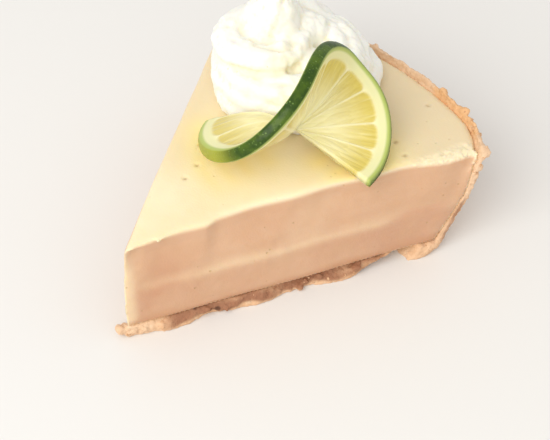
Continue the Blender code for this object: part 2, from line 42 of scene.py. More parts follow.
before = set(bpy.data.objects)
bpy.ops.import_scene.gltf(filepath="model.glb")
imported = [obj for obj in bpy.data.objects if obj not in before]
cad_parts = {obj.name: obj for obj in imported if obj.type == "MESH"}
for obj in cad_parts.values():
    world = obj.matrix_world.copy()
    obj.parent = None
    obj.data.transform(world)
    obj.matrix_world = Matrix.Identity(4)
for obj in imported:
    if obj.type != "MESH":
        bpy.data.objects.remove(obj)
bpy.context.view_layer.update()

# The slice, as in the part's own source.
TIP_X, TIP_Y = -0.0021, -0.0562
HALF_ANGLE = radians(27.4)
FILLING_TOP = 0.0355
BASE_THICKNESS = 0.0042
LEDGE_HEIGHT = 0.0195

# Marks on the filling. A pair says where a mark begins and where it is full, as distances from the tip, or
# for LEFT_SHADE from the -X cut side. A painted yellow glow, which stands in for light through the lime and
# its tinted shade, lies in a narrow and a wide band round the low parts of the lime, which are those less
# than LIME_LOW above the top.
PIN_HOLES = (
    (0.0277, 0.0844), (0.0332, 0.0821), (0.0249, 0.1034),
    (-0.0135, 0.0458), (-0.0072, 0.0331), (-0.0084, 0.0392),
)
PIN_RADIUS, PIN_DEPTH = 0.0011, 0.0006
CRUMBLY_FROM = (0.080, 0.096)
TIP_SHADE, TIP_EDGE = (0.062, 0.012), (0.0050, 0.0015)
BACK_SHADE, LEFT_SHADE, LEFT_SHADE_FROM = (0.046, 0.090), (0.017, 0.003), (0.026, 0.046)
JUICE_NARROW, JUICE_WIDE = 0.0060, 0.012
LIME_LOW = 0.012
LEDGE_WIDTH = 0.0017
SOAKED_HEIGHT = BASE_THICKNESS + 0.0022

# Marks on the crust, as pairs like those: turns are degrees from the slice's middle line towards +X, reaches
# are from the tip, and heights from the floor. LEAF_PITCH is between the flaky layers of the right foot.
BROWNED_TURN, CORNER_TURN, FOOT_TURN, LEAF_TURN = (10.5, 13.5), (21.5, 25.0), (21.0, 24.0), (23.0, 25.0)
RIM_REACH, RIM_HEIGHT = (0.099, 0.105), (0.031, 0.035)
BAKED_REACH, BAKED_HEIGHT = (0.082, 0.076), (0.0062, 0.0052)
BULGE_REACH = (0.011, 0.007)
LEAF_PITCH = 0.0030

# Loose crumbs: how strongly their sizes lean to the small, and how far their surface is knocked in or out.
CRUMB_SKEW = 2.4
CRUMB_KNOCK = 0.0009

# The piped cream, as in the part's own source.
CREAM_PLACE = (TIP_X - 0.0116, TIP_Y + 0.0845, FILLING_TOP + 0.0003)
SPREAD_REACH, SPREAD_WIDE, SPREAD_TALL, SPREAD_HEIGHT = 0.0188, 0.0062, 0.0050, 0.0030
SPREAD_WAVE = 0.0007
LOBE_HEADING, LOBE_SPREAD, LOBE_OUT = radians(46), radians(16), 0.0018
ROPE_START = radians(17)
ROPE_SWEEP = radians(775)
RING_REACH, RING_ROPE, RING_HEIGHT = 0.0162, 0.0087, 0.0074
COIL_REACH, COIL_ROPE, COIL_HEIGHT = 0.0100, 0.0055, 0.0160
COIL_OFFSET = (-0.0066, -0.0058)
STEP_FROM, STEP_TO = radians(325), radians(565)
START_OUT, START_TURN = 0.0016, radians(45)
SHOULDER_HEADING, SHOULDER_SPREAD = radians(92), radians(34)
SHOULDER_IN = 0.0030
BACK_HEADING, BACK_SPREAD, BACK_UP = radians(140), radians(30), 0.0035
CURL_FROM = radians(660)
CURL_OUT, CURL_UP, CURL_TAPER = 0.0022, 0.0022, 0.58
TUCK_IN, TUCK_OVER = 0.0040, radians(28)
ROPE_FLUTES = 8
FLUTE_DEPTH = 0.16
FLUTE_TURN = radians(32)
HEART_OFFSET = (-0.0075, -0.0014)
HEART_RADIUS = 0.0106
HEART_FOOT = 0.0130
HEART_SHOULDER = 0.24
HEART_RIDGES = 5
HEART_TWIST = 2.6
HEART_LOW = 0.002
PEAK_HEIGHT, PEAK_RADIUS = 0.0335, 0.0008
PEAK_LEAN = 0.0020
FILLER_RADIUS = 0.0130

# Finer marks in the cream, from its own foot: the pit at the coil's end, and lines along two grooves.
# CREASE_FILLS are places and radii of spheres that close the creases towards the lime.
CREAM_PIT, CREAM_PIT_RADIUS = (0.0042, -0.0053, 0.0207), 0.0022
CREAM_GROOVES = (
    ((-0.0052, -0.0203, 0.0154), (-0.0011, -0.0201, 0.0161), (0.0019, -0.0183, 0.0155),
     (0.0064, -0.0155, 0.0164), (0.0081, -0.0097, 0.0148), (0.0081, -0.0053, 0.0161),
     (0.0065, 0.0001, 0.0182)),
    ((-0.0028, -0.0135, 0.0211), (0.0013, -0.0115, 0.0210), (0.0043, -0.0097, 0.0208),
     (0.0056, -0.0069, 0.0206)),
)
GROOVE_WIDTH = 0.0013
CROWN_HEIGHT = (0.021, 0.027)
CREASE_FILLS = ((-0.0004, 0.0062, 0.0150, 0.0066), (0.0080, -0.0030, 0.0122, 0.0058))

# The lime slice, as in the part's own source. Its spokes are headings and lifts in degrees.
LIME_RADIUS = 0.0274
LIME_THICKNESS = 0.0038
LIME_HUB = 0.0008
LOBE_BOW = 0.0045
END_THINNING = 0.55
LIME_PLACE = (TIP_X + 0.0078, TIP_Y + 0.0629, FILLING_TOP + 0.0072)
LIME_SPOKES = ((206, -12), (246, 3), (279, 26), (316, 63), (78, 68), (86, 25), (61, 10), (34, -7), (3, -12))
LIME_SEGMENTS = 10
LIME_PHASE = 0.88

# Finer parts of the lime: reaches are shares of its radius, and turns are degrees round the rind's section.
FACE_REACH = (0.03, 0.975)
PULP_REACH = (0.880, 0.835)
MEMBRANE = (-0.00010, 0.00080)
RIND_TURN, RIND_ROWS = 72, 9
RIND_REACH, RIND_BULGE = 0.978, 0.034
RIND_DARK_TO, RIND_DARK_LOSS = 60, 38

# The camera, from the tip, and the lights.
CAMERA_PLACE = (0.22748, -0.19035, 0.3527)
CAMERA_AIM = (0.01144, 0.05043, 0.01775)
CAMERA_LENS = 104.7
KEY_PLACE, FILL_PLACE, LIGHT_AIM = (0.08, -0.80, 0.78), (0.9, -0.6, 0.7), (0.0, 0.0, 0.03)
LIGHT_SIZE = 1.0
FLOOR_REACH = 2.5


# Numbers


def ramp(value, start, end):
    """Eases from 0 where the value is at start to 1 where it is at end; start may be the larger one."""
    x = np.clip((value - start) / (end - start), 0.0, 1.0)
    return x * x * (3 - 2 * x)


def bell(off, width):
    """1 where off is zero, and close to 0 two widths away."""
    return np.exp(-((off / width) ** 2))


def wander(places, wavelength, seed=0.0):
    """Smooth noise between about -1 and 1 at each place; wavelength is one number or one for each axis."""
    scaled = places / np.asarray(wavelength) + (seed, -seed, 0.37 * seed)
    return np.array([noise.noise(Vector(point)) for point in scaled])


def grains(places, size, seed=0.0):
    """Rounded grains of the given size: 1 in the middle of a grain and 0 between grains."""
    scaled = places / size + (seed, -seed, 0.37 * seed)
    near = np.array([noise.voronoi(Vector(point))[0][:2] for point in scaled])
    return ramp((near[:, 1] - near[:, 0]) * 2.2, 0.0, 1.0)


# Meshes


def new_piece(name, mesh):
    made = bpy.data.objects.new(name, mesh)
    bpy.context.scene.collection.objects.link(made)
    return made


def settle(piece):
    """Turns a piece and its modifiers into one plain mesh."""
    graph = bpy.context.evaluated_depsgraph_get()
    mesh = bpy.data.meshes.new_from_object(piece.evaluated_get(graph))
    piece.modifiers.clear()
    old = piece.data
    piece.data = mesh
    bpy.data.meshes.remove(old)
    return piece


def even_mesh(piece, cell, softening):
    """Lays an even, closed mesh over a piece and softens it."""
    remesh = piece.modifiers.new("Even mesh", "REMESH")
    remesh.mode = "VOXEL"
    remesh.voxel_size = cell
    if softening:
        soften = piece.modifiers.new("Soften", "SMOOTH")
        soften.factor = 0.5
        soften.iterations = softening
    return settle(piece)


def copy_of_node(node, name):
    """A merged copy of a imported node's mesh, as a new piece."""
    bm = bmesh.new()
    bm.from_mesh(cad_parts[node].data)
    bmesh.ops.remove_doubles(bm, verts=bm.verts, dist=1e-6)
    mesh = bpy.data.meshes.new(name)
    bm.to_mesh(mesh)
    bm.free()
    return new_piece(name, mesh)


def read_vectors(items, name):
    """One vector for each item of a mesh's list."""
    vectors = np.empty(len(items) * 3)
    items.foreach_get(name, vectors)
    return vectors.reshape(-1, 3)


def places_of(mesh):
    return read_vectors(mesh.vertices, "co")


def normals_of(mesh):
    return read_vectors(mesh.vertex_normals, "vector")


def move_to(mesh, places):
    mesh.vertices.foreach_set("co", places.ravel())
    mesh.update()


def rise_along(mesh, amount):
    """Moves each point along its normal by its amount."""
    move_to(mesh, places_of(mesh) + normals_of(mesh) * amount[:, None])


def keep_off_floor(mesh):
    """Lifts what has sunk below the floor back up to it."""
    places = places_of(mesh)
    places[:, 2] = np.maximum(places[:, 2], 0.0)
    move_to(mesh, places)


def paint(mesh, **marks):
    """Stores a number, or a vector, for each point under the names that the materials read."""
    for name, values in marks.items():
        values = np.asarray(values, np.float32)
        kind, slot = ("FLOAT", "value") if values.ndim == 1 else ("FLOAT_VECTOR", "vector")
        mesh.attributes.new(name, kind, "POINT").data.foreach_set(slot, values.ravel())


def hollowness(mesh, rounds, depth):
    """How deep each point lies in a hollow, from -1 on a ridge to 1 in a groove of the given depth."""
    places = places_of(mesh)
    ends = np.empty(len(mesh.edges) * 2, int)
    mesh.edges.foreach_get("vertices", ends)
    edges = ends.reshape(-1, 2)
    here, there = np.concatenate([edges, edges[:, ::-1]]).T
    count = np.bincount(here, minlength=len(places))[:, None]
    smoothed = places
    for _ in range(rounds):
        sums = [np.bincount(here, smoothed[there, axis], len(places)) for axis in range(3)]
        smoothed = np.stack(sums, axis=1) / count
    rise = ((smoothed - places) * normals_of(mesh)).sum(axis=1)
    return np.clip(rise / depth, -1, 1)


def mesh_from_points(name, points, faces):
    mesh = bpy.data.meshes.new(name)
    mesh.from_pydata([tuple(point) for point in points], [], faces)
    return mesh


def mesh_from_loops(name, loops, low_point, high_point):
    """A closed mesh through loops of equally many points, with a fan to one point at each end."""
    rings, count = len(loops), len(loops[0])
    points = [point for loop in loops for point in loop] + [low_point, high_point]
    low, high, last = rings * count, rings * count + 1, (rings - 1) * count
    faces = []
    for i in range(count):
        j = (i + 1) % count
        for here in range(0, last, count):
            faces.append((here + i, here + j, here + count + j, here + count + i))
        faces += [(j, i, low), (last + i, last + j, high)]
    return mesh_from_points(name, points, faces)


def face_outwards(mesh):
    bm = bmesh.new()
    bm.from_mesh(mesh)
    bmesh.ops.recalc_face_normals(bm, faces=bm.faces)
    bm.to_mesh(mesh)
    bm.free()


def hand_over(piece, material, node):
    """Gives a finished piece its material and its place in the frame."""
    piece.data.materials.clear()
    piece.data.materials.append(material)
    piece.data.shade_smooth()
    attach(piece, "root")
    if node:
        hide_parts(node)


# Materials


class Nodes:
    """A node tree, with a short call for each kind of node that recurs."""

    def __init__(self, tree):
        self.tree = tree

    def feed(self, socket, value):
        """Links a value that is a socket, and sets any other; a colour of three numbers is opaque."""
        if isinstance(value, bpy.types.NodeSocket):
            self.tree.links.new(value, socket)
        else:
            socket.default_value = (*value, 1.0) if socket.type == "RGBA" and len(value) == 3 else value

    def add(self, kind, inputs=None, **settings):
        made = self.tree.nodes.new(kind)
        for name, value in settings.items():
            setattr(made, name, value)
        for name, value in (inputs or {}).items():
            self.feed(made.inputs[name], value)
        return made

    def math(self, operation, first, second, third=0.0):
        return self.add("ShaderNodeMath", {0: first, 1: second, 2: third}, operation=operation).outputs[0]

    def times(self, first, second):
        return self.math("MULTIPLY", first, second)

    def larger(self, first, second):
        return self.math("MAXIMUM", first, second)

    def step(self, value, start, end, low=0.0, high=1.0):
        """Eases from low where the value is at start to high where it is at end."""
        inputs = {"Value": value, "From Min": start, "From Max": end, "To Min": low, "To Max": high}
        return self.add("ShaderNodeMapRange", inputs, interpolation_type="SMOOTHSTEP").outputs[0]

    def vectors(self, operation, first, second):
        return self.add("ShaderNodeVectorMath", {0: first, 1: second}, operation=operation).outputs[0]

    def scaled(self, vector, factor):
        return self.add("ShaderNodeVectorMath", {0: vector, "Scale": factor}, operation="SCALE").outputs[0]

    def noise(self, place, scale, detail):
        return self.add("ShaderNodeTexNoise", {"Vector": place, "Scale": scale, "Detail": detail}).outputs

    def cells(self, place, scale):
        """Cells round scattered points: the distance from a cell's point, and two numbers for the cell."""
        made = self.add("ShaderNodeTexVoronoi", {"Vector": place, "Scale": scale}).outputs
        red, green, _ = self.add("ShaderNodeSeparateColor", {"Color": made["Color"]}).outputs
        return made["Distance"], red, green

    def draw(self, seed, low, high):
        """A random number, or a random vector, between low and high."""
        if isinstance(low, tuple):
            inputs, kind, output = {0: low, 1: high, "Seed": seed}, "FLOAT_VECTOR", 0
        else:
            inputs, kind, output = {2: low, 3: high, "Seed": seed}, "FLOAT", 1
        return self.add("FunctionNodeRandomValue", inputs, data_type=kind).outputs[output]


class Look(Nodes):
    """A material, with its shader's sockets and the object's own coordinates."""

    def __init__(self, name, **constants):
        self.material = bpy.data.materials.new(name)
        self.material.use_nodes = True
        super().__init__(self.material.node_tree)
        self.shader = self.tree.nodes["Principled BSDF"].inputs
        self.place = self.add("ShaderNodeTexCoord").outputs["Object"]
        self.finish(**constants)

    def finish(self, **sockets):
        """Feeds the shader, by the names of its sockets, and gives the material."""
        for name, value in sockets.items():
            self.feed(self.shader[name.replace("_", " ")], value)
        return self.material

    def painted(self, name, output="Fac"):
        return self.add("ShaderNodeAttribute", attribute_name=name).outputs[output]

    def layers(self, colour, *layers):
        """Lays colours over the first, each by its share; a share given as a name is painted on the mesh."""
        for share, over in layers:
            share = self.painted(share) if isinstance(share, str) else share
            colour = self.add("ShaderNodeMix", {0: share, 6: colour, 7: over}, data_type="RGBA").outputs[2]
        return colour

    def stretched(self, scale, place=None):
        return self.add("ShaderNodeMapping", {"Vector": place or self.place, "Scale": scale}).outputs[0]

    def bump(self, height, depth, **under):
        inputs = {"Height": height, "Distance": depth, "Strength": 1.0, **under}
        return self.add("ShaderNodeBump", inputs).outputs[0]

    def effect(self, group, inputs):
        """Places a shared effect with this material's own values."""
        group = bpy.data.node_groups[group]
        return self.add("ShaderNodeGroup", {"Vector": self.place, **inputs}, node_tree=group).outputs

    def mottle(self, scale, detail, start, end, place=None):
        inputs = {"Vector": place or self.place, "Scale": scale, "Detail": detail, "From": start, "To": end}
        return self.effect("Mottle", inputs)["Mask"]

    def pores(self, scale, radius, share):
        return self.effect("Pores", {"Scale": scale, "Radius": radius, "Share": share})["Mask"]

    def grain(self, scale):
        return self.effect("Packed grains", {"Scale": scale})


def new_group(name, numbers, outputs):
    """An empty shared effect that takes a place and the named numbers: its nodes, inputs and outputs."""
    tree = bpy.data.node_groups.new(name, "ShaderNodeTree")
    tree.interface.new_socket(name="Vector", in_out="INPUT", socket_type="NodeSocketVector")
    for socket, value in numbers.items():
        made = tree.interface.new_socket(name=socket, in_out="INPUT", socket_type="NodeSocketFloat")
        made.default_value = value
    for socket in outputs:
        tree.interface.new_socket(name=socket, in_out="OUTPUT", socket_type="NodeSocketFloat")
    nodes = Nodes(tree)
    return nodes, nodes.add("NodeGroupInput").outputs, nodes.add("NodeGroupOutput").inputs


def make_mottle_group():
    """Soft blotches: a mask from noise between two levels."""
    numbers = {"Scale": 100.0, "Detail": 3.0, "From": 0.35, "To": 0.65}
    nodes, entry, end = new_group("Mottle", numbers, ["Mask"])
    cloud = nodes.noise(entry["Vector"], entry["Scale"], entry["Detail"])[0]
    nodes.feed(end["Mask"], nodes.step(cloud, entry["From"], entry["To"]))


def make_pores_group():
    """Small round pores in a share of the cells: 1 in a pore and 0 around it."""
    nodes, entry, end = new_group("Pores", {"Scale": 400.0, "Radius": 0.25, "Share": 0.3}, ["Mask"])
    distance, pick, _ = nodes.cells(entry["Vector"], entry["Scale"])
    chosen = nodes.math("LESS_THAN", pick, entry["Share"])
    near = nodes.step(distance, entry["Radius"], nodes.times(entry["Radius"], 0.4))
    nodes.feed(end["Mask"], nodes.times(chosen, near))


def make_grain_group():
    """Packed grains: a tone for each grain and its rounded height."""
    nodes, entry, end = new_group("Packed grains", {"Scale": 900.0}, ["Tone", "Height"])
    shift = nodes.scaled(nodes.noise(entry["Vector"], 1100.0, 2.0)["Color"], 0.0007)
    distance, _, tone = nodes.cells(nodes.vectors("ADD", entry["Vector"], shift), entry["Scale"])
    nodes.feed(end["Tone"], tone)
    nodes.feed(end["Height"], nodes.step(distance, 0.75, 0.05))


def filling_material(settings):
    look = Look(
        "key lime filling",
        Subsurface_Weight=0.22, Subsurface_Radius=(1.0, 0.62, 0.30), Subsurface_Scale=0.0022)
    side = look.painted("cut")
    cloudy = look.mottle(scale=42.0, detail=3.0, start=0.38, end=0.66)
    streaky, squat = look.stretched((38.0, 38.0, 520.0)), look.stretched((1.0, 1.0, 1.7))
    drawn = look.mottle(scale=1.0, detail=4.0, start=0.36, end=0.70, place=streaky)
    blotch = look.mottle(scale=130.0, detail=5.0, start=0.40, end=0.66, place=squat)
    # The top, with painted shade towards the back and a painted yellow glow of light through the lime.
    top = look.layers(
        settings.top_colour, (cloudy, settings.top_tint), ("back", settings.back_colour),
        ("juice", settings.juice_colour))
    # The cut sides' warm colours are partly their own and partly painted warm bounce light.
    cut = look.layers(
        settings.low_cut_colour,
        ("upper", settings.high_cut_colour),
        ("near_tip", settings.tip_colour),
        (look.larger(look.times(drawn, 0.08), look.times(cloudy, 0.30)), settings.streak_colour),
        (look.times(blotch, 0.45), settings.blotch_colour),
        # Painted highlight along the knife's ledge, and a paler band at the tip's edge.
        ("ledge", settings.top_tint),
        # Darker just above the base crust.
        ("soaked", settings.soaked_colour),
    )
    # Painted shade inside the pores of the cut sides and the pin holes.
    pores = look.pores(scale=520.0, radius=0.22, share=0.10)
    holes = look.larger(look.times(pores, look.step(side, 0.0, 1.0, 0.08, 0.45)), look.painted("pin"))
    colour = look.layers(top, (side, cut), (holes, settings.pore_colour))
    fine = look.noise(look.place, 1500.0, 3.0)[0]
    height = look.math("SUBTRACT", look.times(fine, 0.5), pores)
    height = look.math("ADD", height, look.times(look.times(drawn, side), 0.15))
    rough = look.step(side, 0.0, 1.0, 0.40, 0.62)
    return look.finish(Base_Color=colour, Roughness=rough, Normal=look.bump(height, 0.00010))


def crumb_colour(look, settings, tone, shade):
    """Biscuit colours by the tone of a grain, darker where shade is high."""
    return look.layers(
        settings.dark_colour,
        (look.step(tone, 0.05, 0.55), settings.main_colour),
        (look.step(tone, 0.62, 1.0), settings.pale_colour),
        (shade, settings.deep_colour),
    )


def crust_material(settings):
    look = Look("crumb crust", Specular_IOR_Level=0.35)
    grain = look.grain(900.0)
    cloudy = look.mottle(scale=130.0, detail=4.0, start=0.34, end=0.68)
    mixed = look.math("ADD", look.times(grain["Tone"], 0.62), look.times(cloudy, 0.38))
    # Painted shade in the hollows between the pressed grains.
    shade = look.times(look.step(look.painted("hollow"), 0.25, 1.0), 0.75)
    # The darker strip under the filling and the flaky layers: partly baked colour, partly painted shade.
    baked = look.painted("baked")
    # Painted shade in small pits along the darker strip.
    pits = look.pores(scale=300.0, radius=0.38, share=0.22)
    colour = look.layers(
        crumb_colour(look, settings, mixed, shade),
        (look.times(baked, 0.95), settings.baked_colour),
        (look.times(pits, baked), settings.pit_colour),
        (look.times(look.painted("toasted"), 0.62), settings.toasted_colour),
        (look.times(look.painted("broken"), 0.62), settings.broken_colour),
    )
    rough = look.step(grain["Tone"], 0.0, 1.0, 0.62, 0.88)
    normal = look.bump(look.grain(2300.0)["Height"], 0.00005, Normal=look.bump(grain["Height"], 0.00012))
    return look.finish(Base_Color=colour, Roughness=rough, Normal=normal)


def loose_crumb_material(settings):
    look = Look("loose crumbs", Specular_IOR_Level=0.30)
    own_tone = look.painted("tone")
    speckle = look.mottle(scale=900.0, detail=3.0, start=0.45, end=0.75)
    tone = look.math("MULTIPLY_ADD", speckle, -0.25, own_tone)
    colour = crumb_colour(look, settings, tone, look.times(speckle, 0.15))
    rough = look.step(own_tone, 0.0, 1.0, 0.60, 0.90)
    normal = look.bump(look.grain(2600.0)["Height"], 0.00010)
    return look.finish(Base_Color=colour, Roughness=rough, Normal=normal)


def cream_material(settings):
    look = Look(
        "whipped cream",
        Subsurface_Weight=0.35, Subsurface_Radius=(1.0, 0.80, 0.55), Subsurface_Scale=0.0030)
    # Painted shade in the hollows and along the grooves and the pit; a light mottle takes the same colour.
    deep = look.larger(look.step(look.painted("hollow"), 0.05, 0.95), look.painted("groove"))
    cloudy = look.mottle(scale=120.0, detail=3.0, start=0.40, end=0.70)
    # Small bubbles, whose insides get painted shade.
    bubbles = look.pores(scale=620.0, radius=0.24, share=0.07)
    colour = look.layers(
        settings.cream_colour,
        (look.larger(look.times(deep, 0.85), look.times(cloudy, 0.22)), settings.groove_colour),
        (look.times(bubbles, 0.45), settings.bubble_colour),
    )
    fine = look.noise(look.place, 900.0, 4.0)[0]
    height = look.math("SUBTRACT", look.times(fine, 0.6), bubbles)
    rough = look.step(cloudy, 0.0, 1.0, 0.42, 0.56)
    return look.finish(Base_Color=colour, Roughness=rough, Normal=look.bump(height, 0.00009))


def lime_material(settings):
    look = Look(
        "lime", Subsurface_Weight=0.18, Subsurface_Radius=(1.0, 0.9, 0.30), Subsurface_Scale=0.0016,
        Coat_Roughness=0.14, Specular_IOR_Level=0.2)
    along_pulp = look.painted("pulp", "Vector")
    reach, flesh, rind = (look.painted(name) for name in ("reach", "flesh", "rind"))
    sac_distance, sac_tone, _ = look.cells(look.stretched((560.0, 170.0, 100.0), along_pulp), 1.0)
    threads = look.noise(look.stretched((620.0, 120.0, 100.0), along_pulp), 1.0, 1.0)[0]
    threads = look.times(look.step(threads, 0.50, 0.78, 0.0, 0.40), look.step(reach, 0.05, 0.50))
    pulp = look.layers(
        settings.inner_flesh,
        (look.step(reach, 0.30, 0.86), settings.outer_flesh),
        (look.times(sac_tone, 0.30), settings.dark_flesh),
        (threads, settings.thread_colour),
    )
    pith = look.layers(settings.pith_colour, (look.step(reach, 0.935, 0.972), settings.skin_colour))
    wall = look.layers(settings.membrane_colour, (look.step(reach, 0.80, 0.90), pith))
    # Oil glands, lighter partly by their own colour and partly by painted highlights.
    glands = look.pores(scale=1150.0, radius=0.42, share=0.85)
    speckle = look.mottle(scale=700.0, detail=3.0, start=0.45, end=0.65)
    green = look.layers(
        settings.rind_colour,
        (look.mottle(scale=260.0, detail=4.0, start=0.35, end=0.68), settings.rind_tint),
        (look.times(look.times(glands, speckle), 0.75), settings.gland_colour),
        # Painted light on the rind's low left end.
        ("ripe", settings.ripe_colour),
    )
    colour = look.layers(wall, (flesh, pulp), (rind, green))
    wet = look.larger(look.times(flesh, 0.45), look.step(rind, 0.0, 1.0, 0.0, 0.20))
    sacs = look.times(look.step(sac_distance, 0.8, 0.1), flesh)
    height = look.math("SUBTRACT", sacs, look.times(look.times(glands, rind), 0.6))
    rough = look.step(flesh, 0.0, 1.0, 0.45, 0.28)
    return look.finish(Base_Color=colour, Coat_Weight=wet, Roughness=rough, Normal=look.bump(height, 0.00016))


# Settings


def colour_prop(name, description, default):
    return FloatVectorProperty(
        name=name, description=description, default=default, min=0.0, max=1.0, size=3, subtype="COLOR")


def length_prop(name, description, default, low=0.0, high=0.01):
    return FloatProperty(
        name=name, description=description, default=default, min=low, max=high, precision=5, unit="LENGTH")


def strength_prop(name, description, default, unit="NONE"):
    return FloatProperty(name=name, description=description, default=default, min=0.0, unit=unit)


def count_prop(name, description, default, low=0, high=1000):
    return IntProperty(name=name, description=description, default=default, min=low, max=high)


class FillingSettings(bpy.types.PropertyGroup):
    cell: length_prop("Cell size", "Size of the even mesh laid over the filling", 0.0006, 0.0004, 0.002)
    softening: count_prop("Softening", "Rounds of smoothing that round the top edges", 18, 1)
    streak_depth: length_prop("Streak depth", "Depth of the knife's level streaks on the cut sides", 0.00003)
    curd_depth: length_prop("Curd depth", "Depth of the torn, curd-like relief on the cut sides", 0.00018)
    crumble_depth: length_prop("Crumble depth", "Height of the crumbly bits along the top edge", 0.00075)
    wave_depth: length_prop("Wave depth", "Depth of the low waves in the smoothed top", 0.00018)
    seating: length_prop("Seating", "How far the hidden sides are drawn out to meet the crust", 0.00034)
    top_colour: colour_prop("Top", "Smoothed top of the filling", (0.93, 0.81, 0.56))
    # Also the painted highlight along the knife's ledge, where the lower band catches the light.
    top_tint: colour_prop("Top tint", "Warmer patches on the top, and the ledge", (0.90, 0.75, 0.48))
    back_colour: colour_prop("Shaded top", "Top towards the crust and along the -X side", (0.78, 0.64, 0.41))
    # Painted light: a yellow glow of light through the lime on the top, with its tinted shade.
    juice_colour: colour_prop("Juice stain", "Top where the lime's juice has run into it", (0.96, 0.78, 0.34))
    # Cut colours: partly the filling's own and partly painted warm bounce light.
    low_cut_colour: colour_prop("Lower cut", "Cut side below the knife's ledge", (0.62, 0.345, 0.21))
    high_cut_colour: colour_prop("Upper cut", "Cut side above the knife's ledge", (0.65, 0.395, 0.24))
    streak_colour: colour_prop("Streaks", "Pale streaks and patches on the cut sides", (0.80, 0.58, 0.38))
    blotch_colour: colour_prop("Blotches", "Darker patches on the cut sides", (0.64, 0.38, 0.22))
    tip_colour: colour_prop("Tip", "Cut side near the tip", (0.60, 0.31, 0.18))
    # Darker just above the base crust.
    soaked_colour: colour_prop("Soaked foot", "Filling just above the base crust", (0.60, 0.32, 0.18))
    # Painted shade inside small holes.
    pore_colour: colour_prop("Pores", "Inside of small holes", (0.46, 0.30, 0.10))


class CrustSettings(bpy.types.PropertyGroup):
    cell: length_prop("Cell size", "Size of the even mesh laid over the crust", 0.0005, 0.0004, 0.002)
    softening: count_prop("Softening", "Rounds of smoothing before the crumbs are pressed in", 3)
    coarse_size: length_prop("Coarse crumbs", "Size of the larger crumbs pressed into the crust", 0.0021)
    fine_size: length_prop("Fine crumbs", "Size of the smaller crumbs pressed into the crust", 0.0010)
    relief: length_prop("Relief", "How far the pressed crumbs stand out", 0.00022)
    main_colour: colour_prop("Crust", "Main colour of the crumbs", (0.78, 0.49, 0.29))
    dark_colour: colour_prop("Dark crumbs", "Darker crumbs", (0.70, 0.41, 0.22))
    pale_colour: colour_prop("Pale crumbs", "Paler crumbs", (0.86, 0.62, 0.41))
    # Painted shade in the gaps between crumbs.
    deep_colour: colour_prop("Gaps", "Gaps between crumbs", (0.50, 0.25, 0.12))
    # Partly baked colour and partly painted shade under the filling's edge.
    baked_colour: colour_prop("Baked foot", "Crust under the filling, baked darker", (0.34, 0.15, 0.08))
    # Painted shade inside the pits.
    pit_colour: colour_prop("Pits", "Inside of the pits under the filling", (0.13, 0.055, 0.03))
    toasted_colour: colour_prop("Toasted rim", "Stretch of the rim that the oven browned", (0.80, 0.45, 0.20))
    broken_colour: colour_prop("Broken edges", "Paler crumb at the corner and the feet", (0.85, 0.61, 0.41))


class CrumbSettings(bpy.types.PropertyGroup):
    number: strength_prop("Crumbs for each square metre", "Density where the crust sheds most", 200000.0)
    smallest: length_prop("Smallest", "Radius of the smallest loose crumb", 0.00018)
    largest: length_prop("Largest", "Radius of the largest loose crumb", 0.00060)
    seed: count_prop("Seed", "Seed of the scatter", 7)


class CreamSettings(bpy.types.PropertyGroup):
    cell: length_prop("Cell size", "Size of the even mesh laid over the cream", 0.00042, 0.0003, 0.002)
    softening: count_prop("Softening", "Rounds of smoothing that melt the ridges together", 22, 1)
    sections: count_prop("Sections", "Sections along the piped rope", 420, 60)
    around: count_prop("Points round", "Points round each section of the rope", 96, 24)
    lump: length_prop("Lumps", "Height of the uneven lumps in the cream", 0.00065)
    ripple: length_prop("Ripple", "Depth of the fine, ragged ripples", 0.00032)
    pit: length_prop("Pit", "Depth of the pit beside the peak", 0.0015)
    groove: length_prop("Groove", "Depth of the grooves between the coil's turns", 0.0009)
    lime_room: length_prop("Room for the lime", "Clearance round the lime slice in the cream", 0.00035)
    cream_colour: colour_prop("Cream", "Whipped cream", (0.90, 0.895, 0.83))
    # Painted shade in the grooves and hollows, also used for a light mottle.
    groove_colour: colour_prop("Grooves", "Cream in the grooves", (0.89, 0.84, 0.66))
    # Painted shade inside bubbles.
    bubble_colour: colour_prop("Bubbles", "Inside of small bubbles", (0.62, 0.52, 0.34))


class LimeSettings(bpy.types.PropertyGroup):
    stations: count_prop("Stations", "Spokes of the mesh round the slice", 400, 64, 800)
    reaches: count_prop("Reaches", "Rings of the mesh from hub to rim", 54, 12, 120)
    sink: length_prop("Sink", "How far the pulp lies below the membranes and pith", 0.00022)
    sac_height: length_prop("Sacs", "Height of the juice sacs in the pulp", 0.00010)
    dimple_depth: length_prop("Dimples", "Depth of the dimples in the rind", 0.00007)
    inner_flesh: colour_prop("Inner pulp", "Pulp towards the hub", (0.97, 0.92, 0.56))
    outer_flesh: colour_prop("Outer pulp", "Pulp towards the pith", (0.70, 0.57, 0.13))
    dark_flesh: colour_prop("Dark pulp", "Darker sacs in the pulp", (0.60, 0.47, 0.07))
    thread_colour: colour_prop("Threads", "Pale threads between sacs", (0.93, 0.86, 0.46))
    membrane_colour: colour_prop("Membranes", "Thin walls between the segments", (0.92, 0.87, 0.56))
    pith_colour: colour_prop("Pith", "Pith under the skin", (0.80, 0.78, 0.44))
    skin_colour: colour_prop("Inner skin", "Thin pale green layer under the rind", (0.46, 0.54, 0.15))
    rind_colour: colour_prop("Rind", "Dark green rind", (0.024, 0.062, 0.001))
    rind_tint: colour_prop("Rind tint", "Lighter green in the rind", (0.070, 0.13, 0.004))
    # Partly the glands' own lighter green and partly painted highlights.
    gland_colour: colour_prop("Glands", "Oil glands in the rind", (0.20, 0.32, 0.07))
    # Painted light on the rind's low left end.
    ripe_colour: colour_prop("Ripe rind", "Yellow-green rind at the low left end", (0.34, 0.36, 0.03))


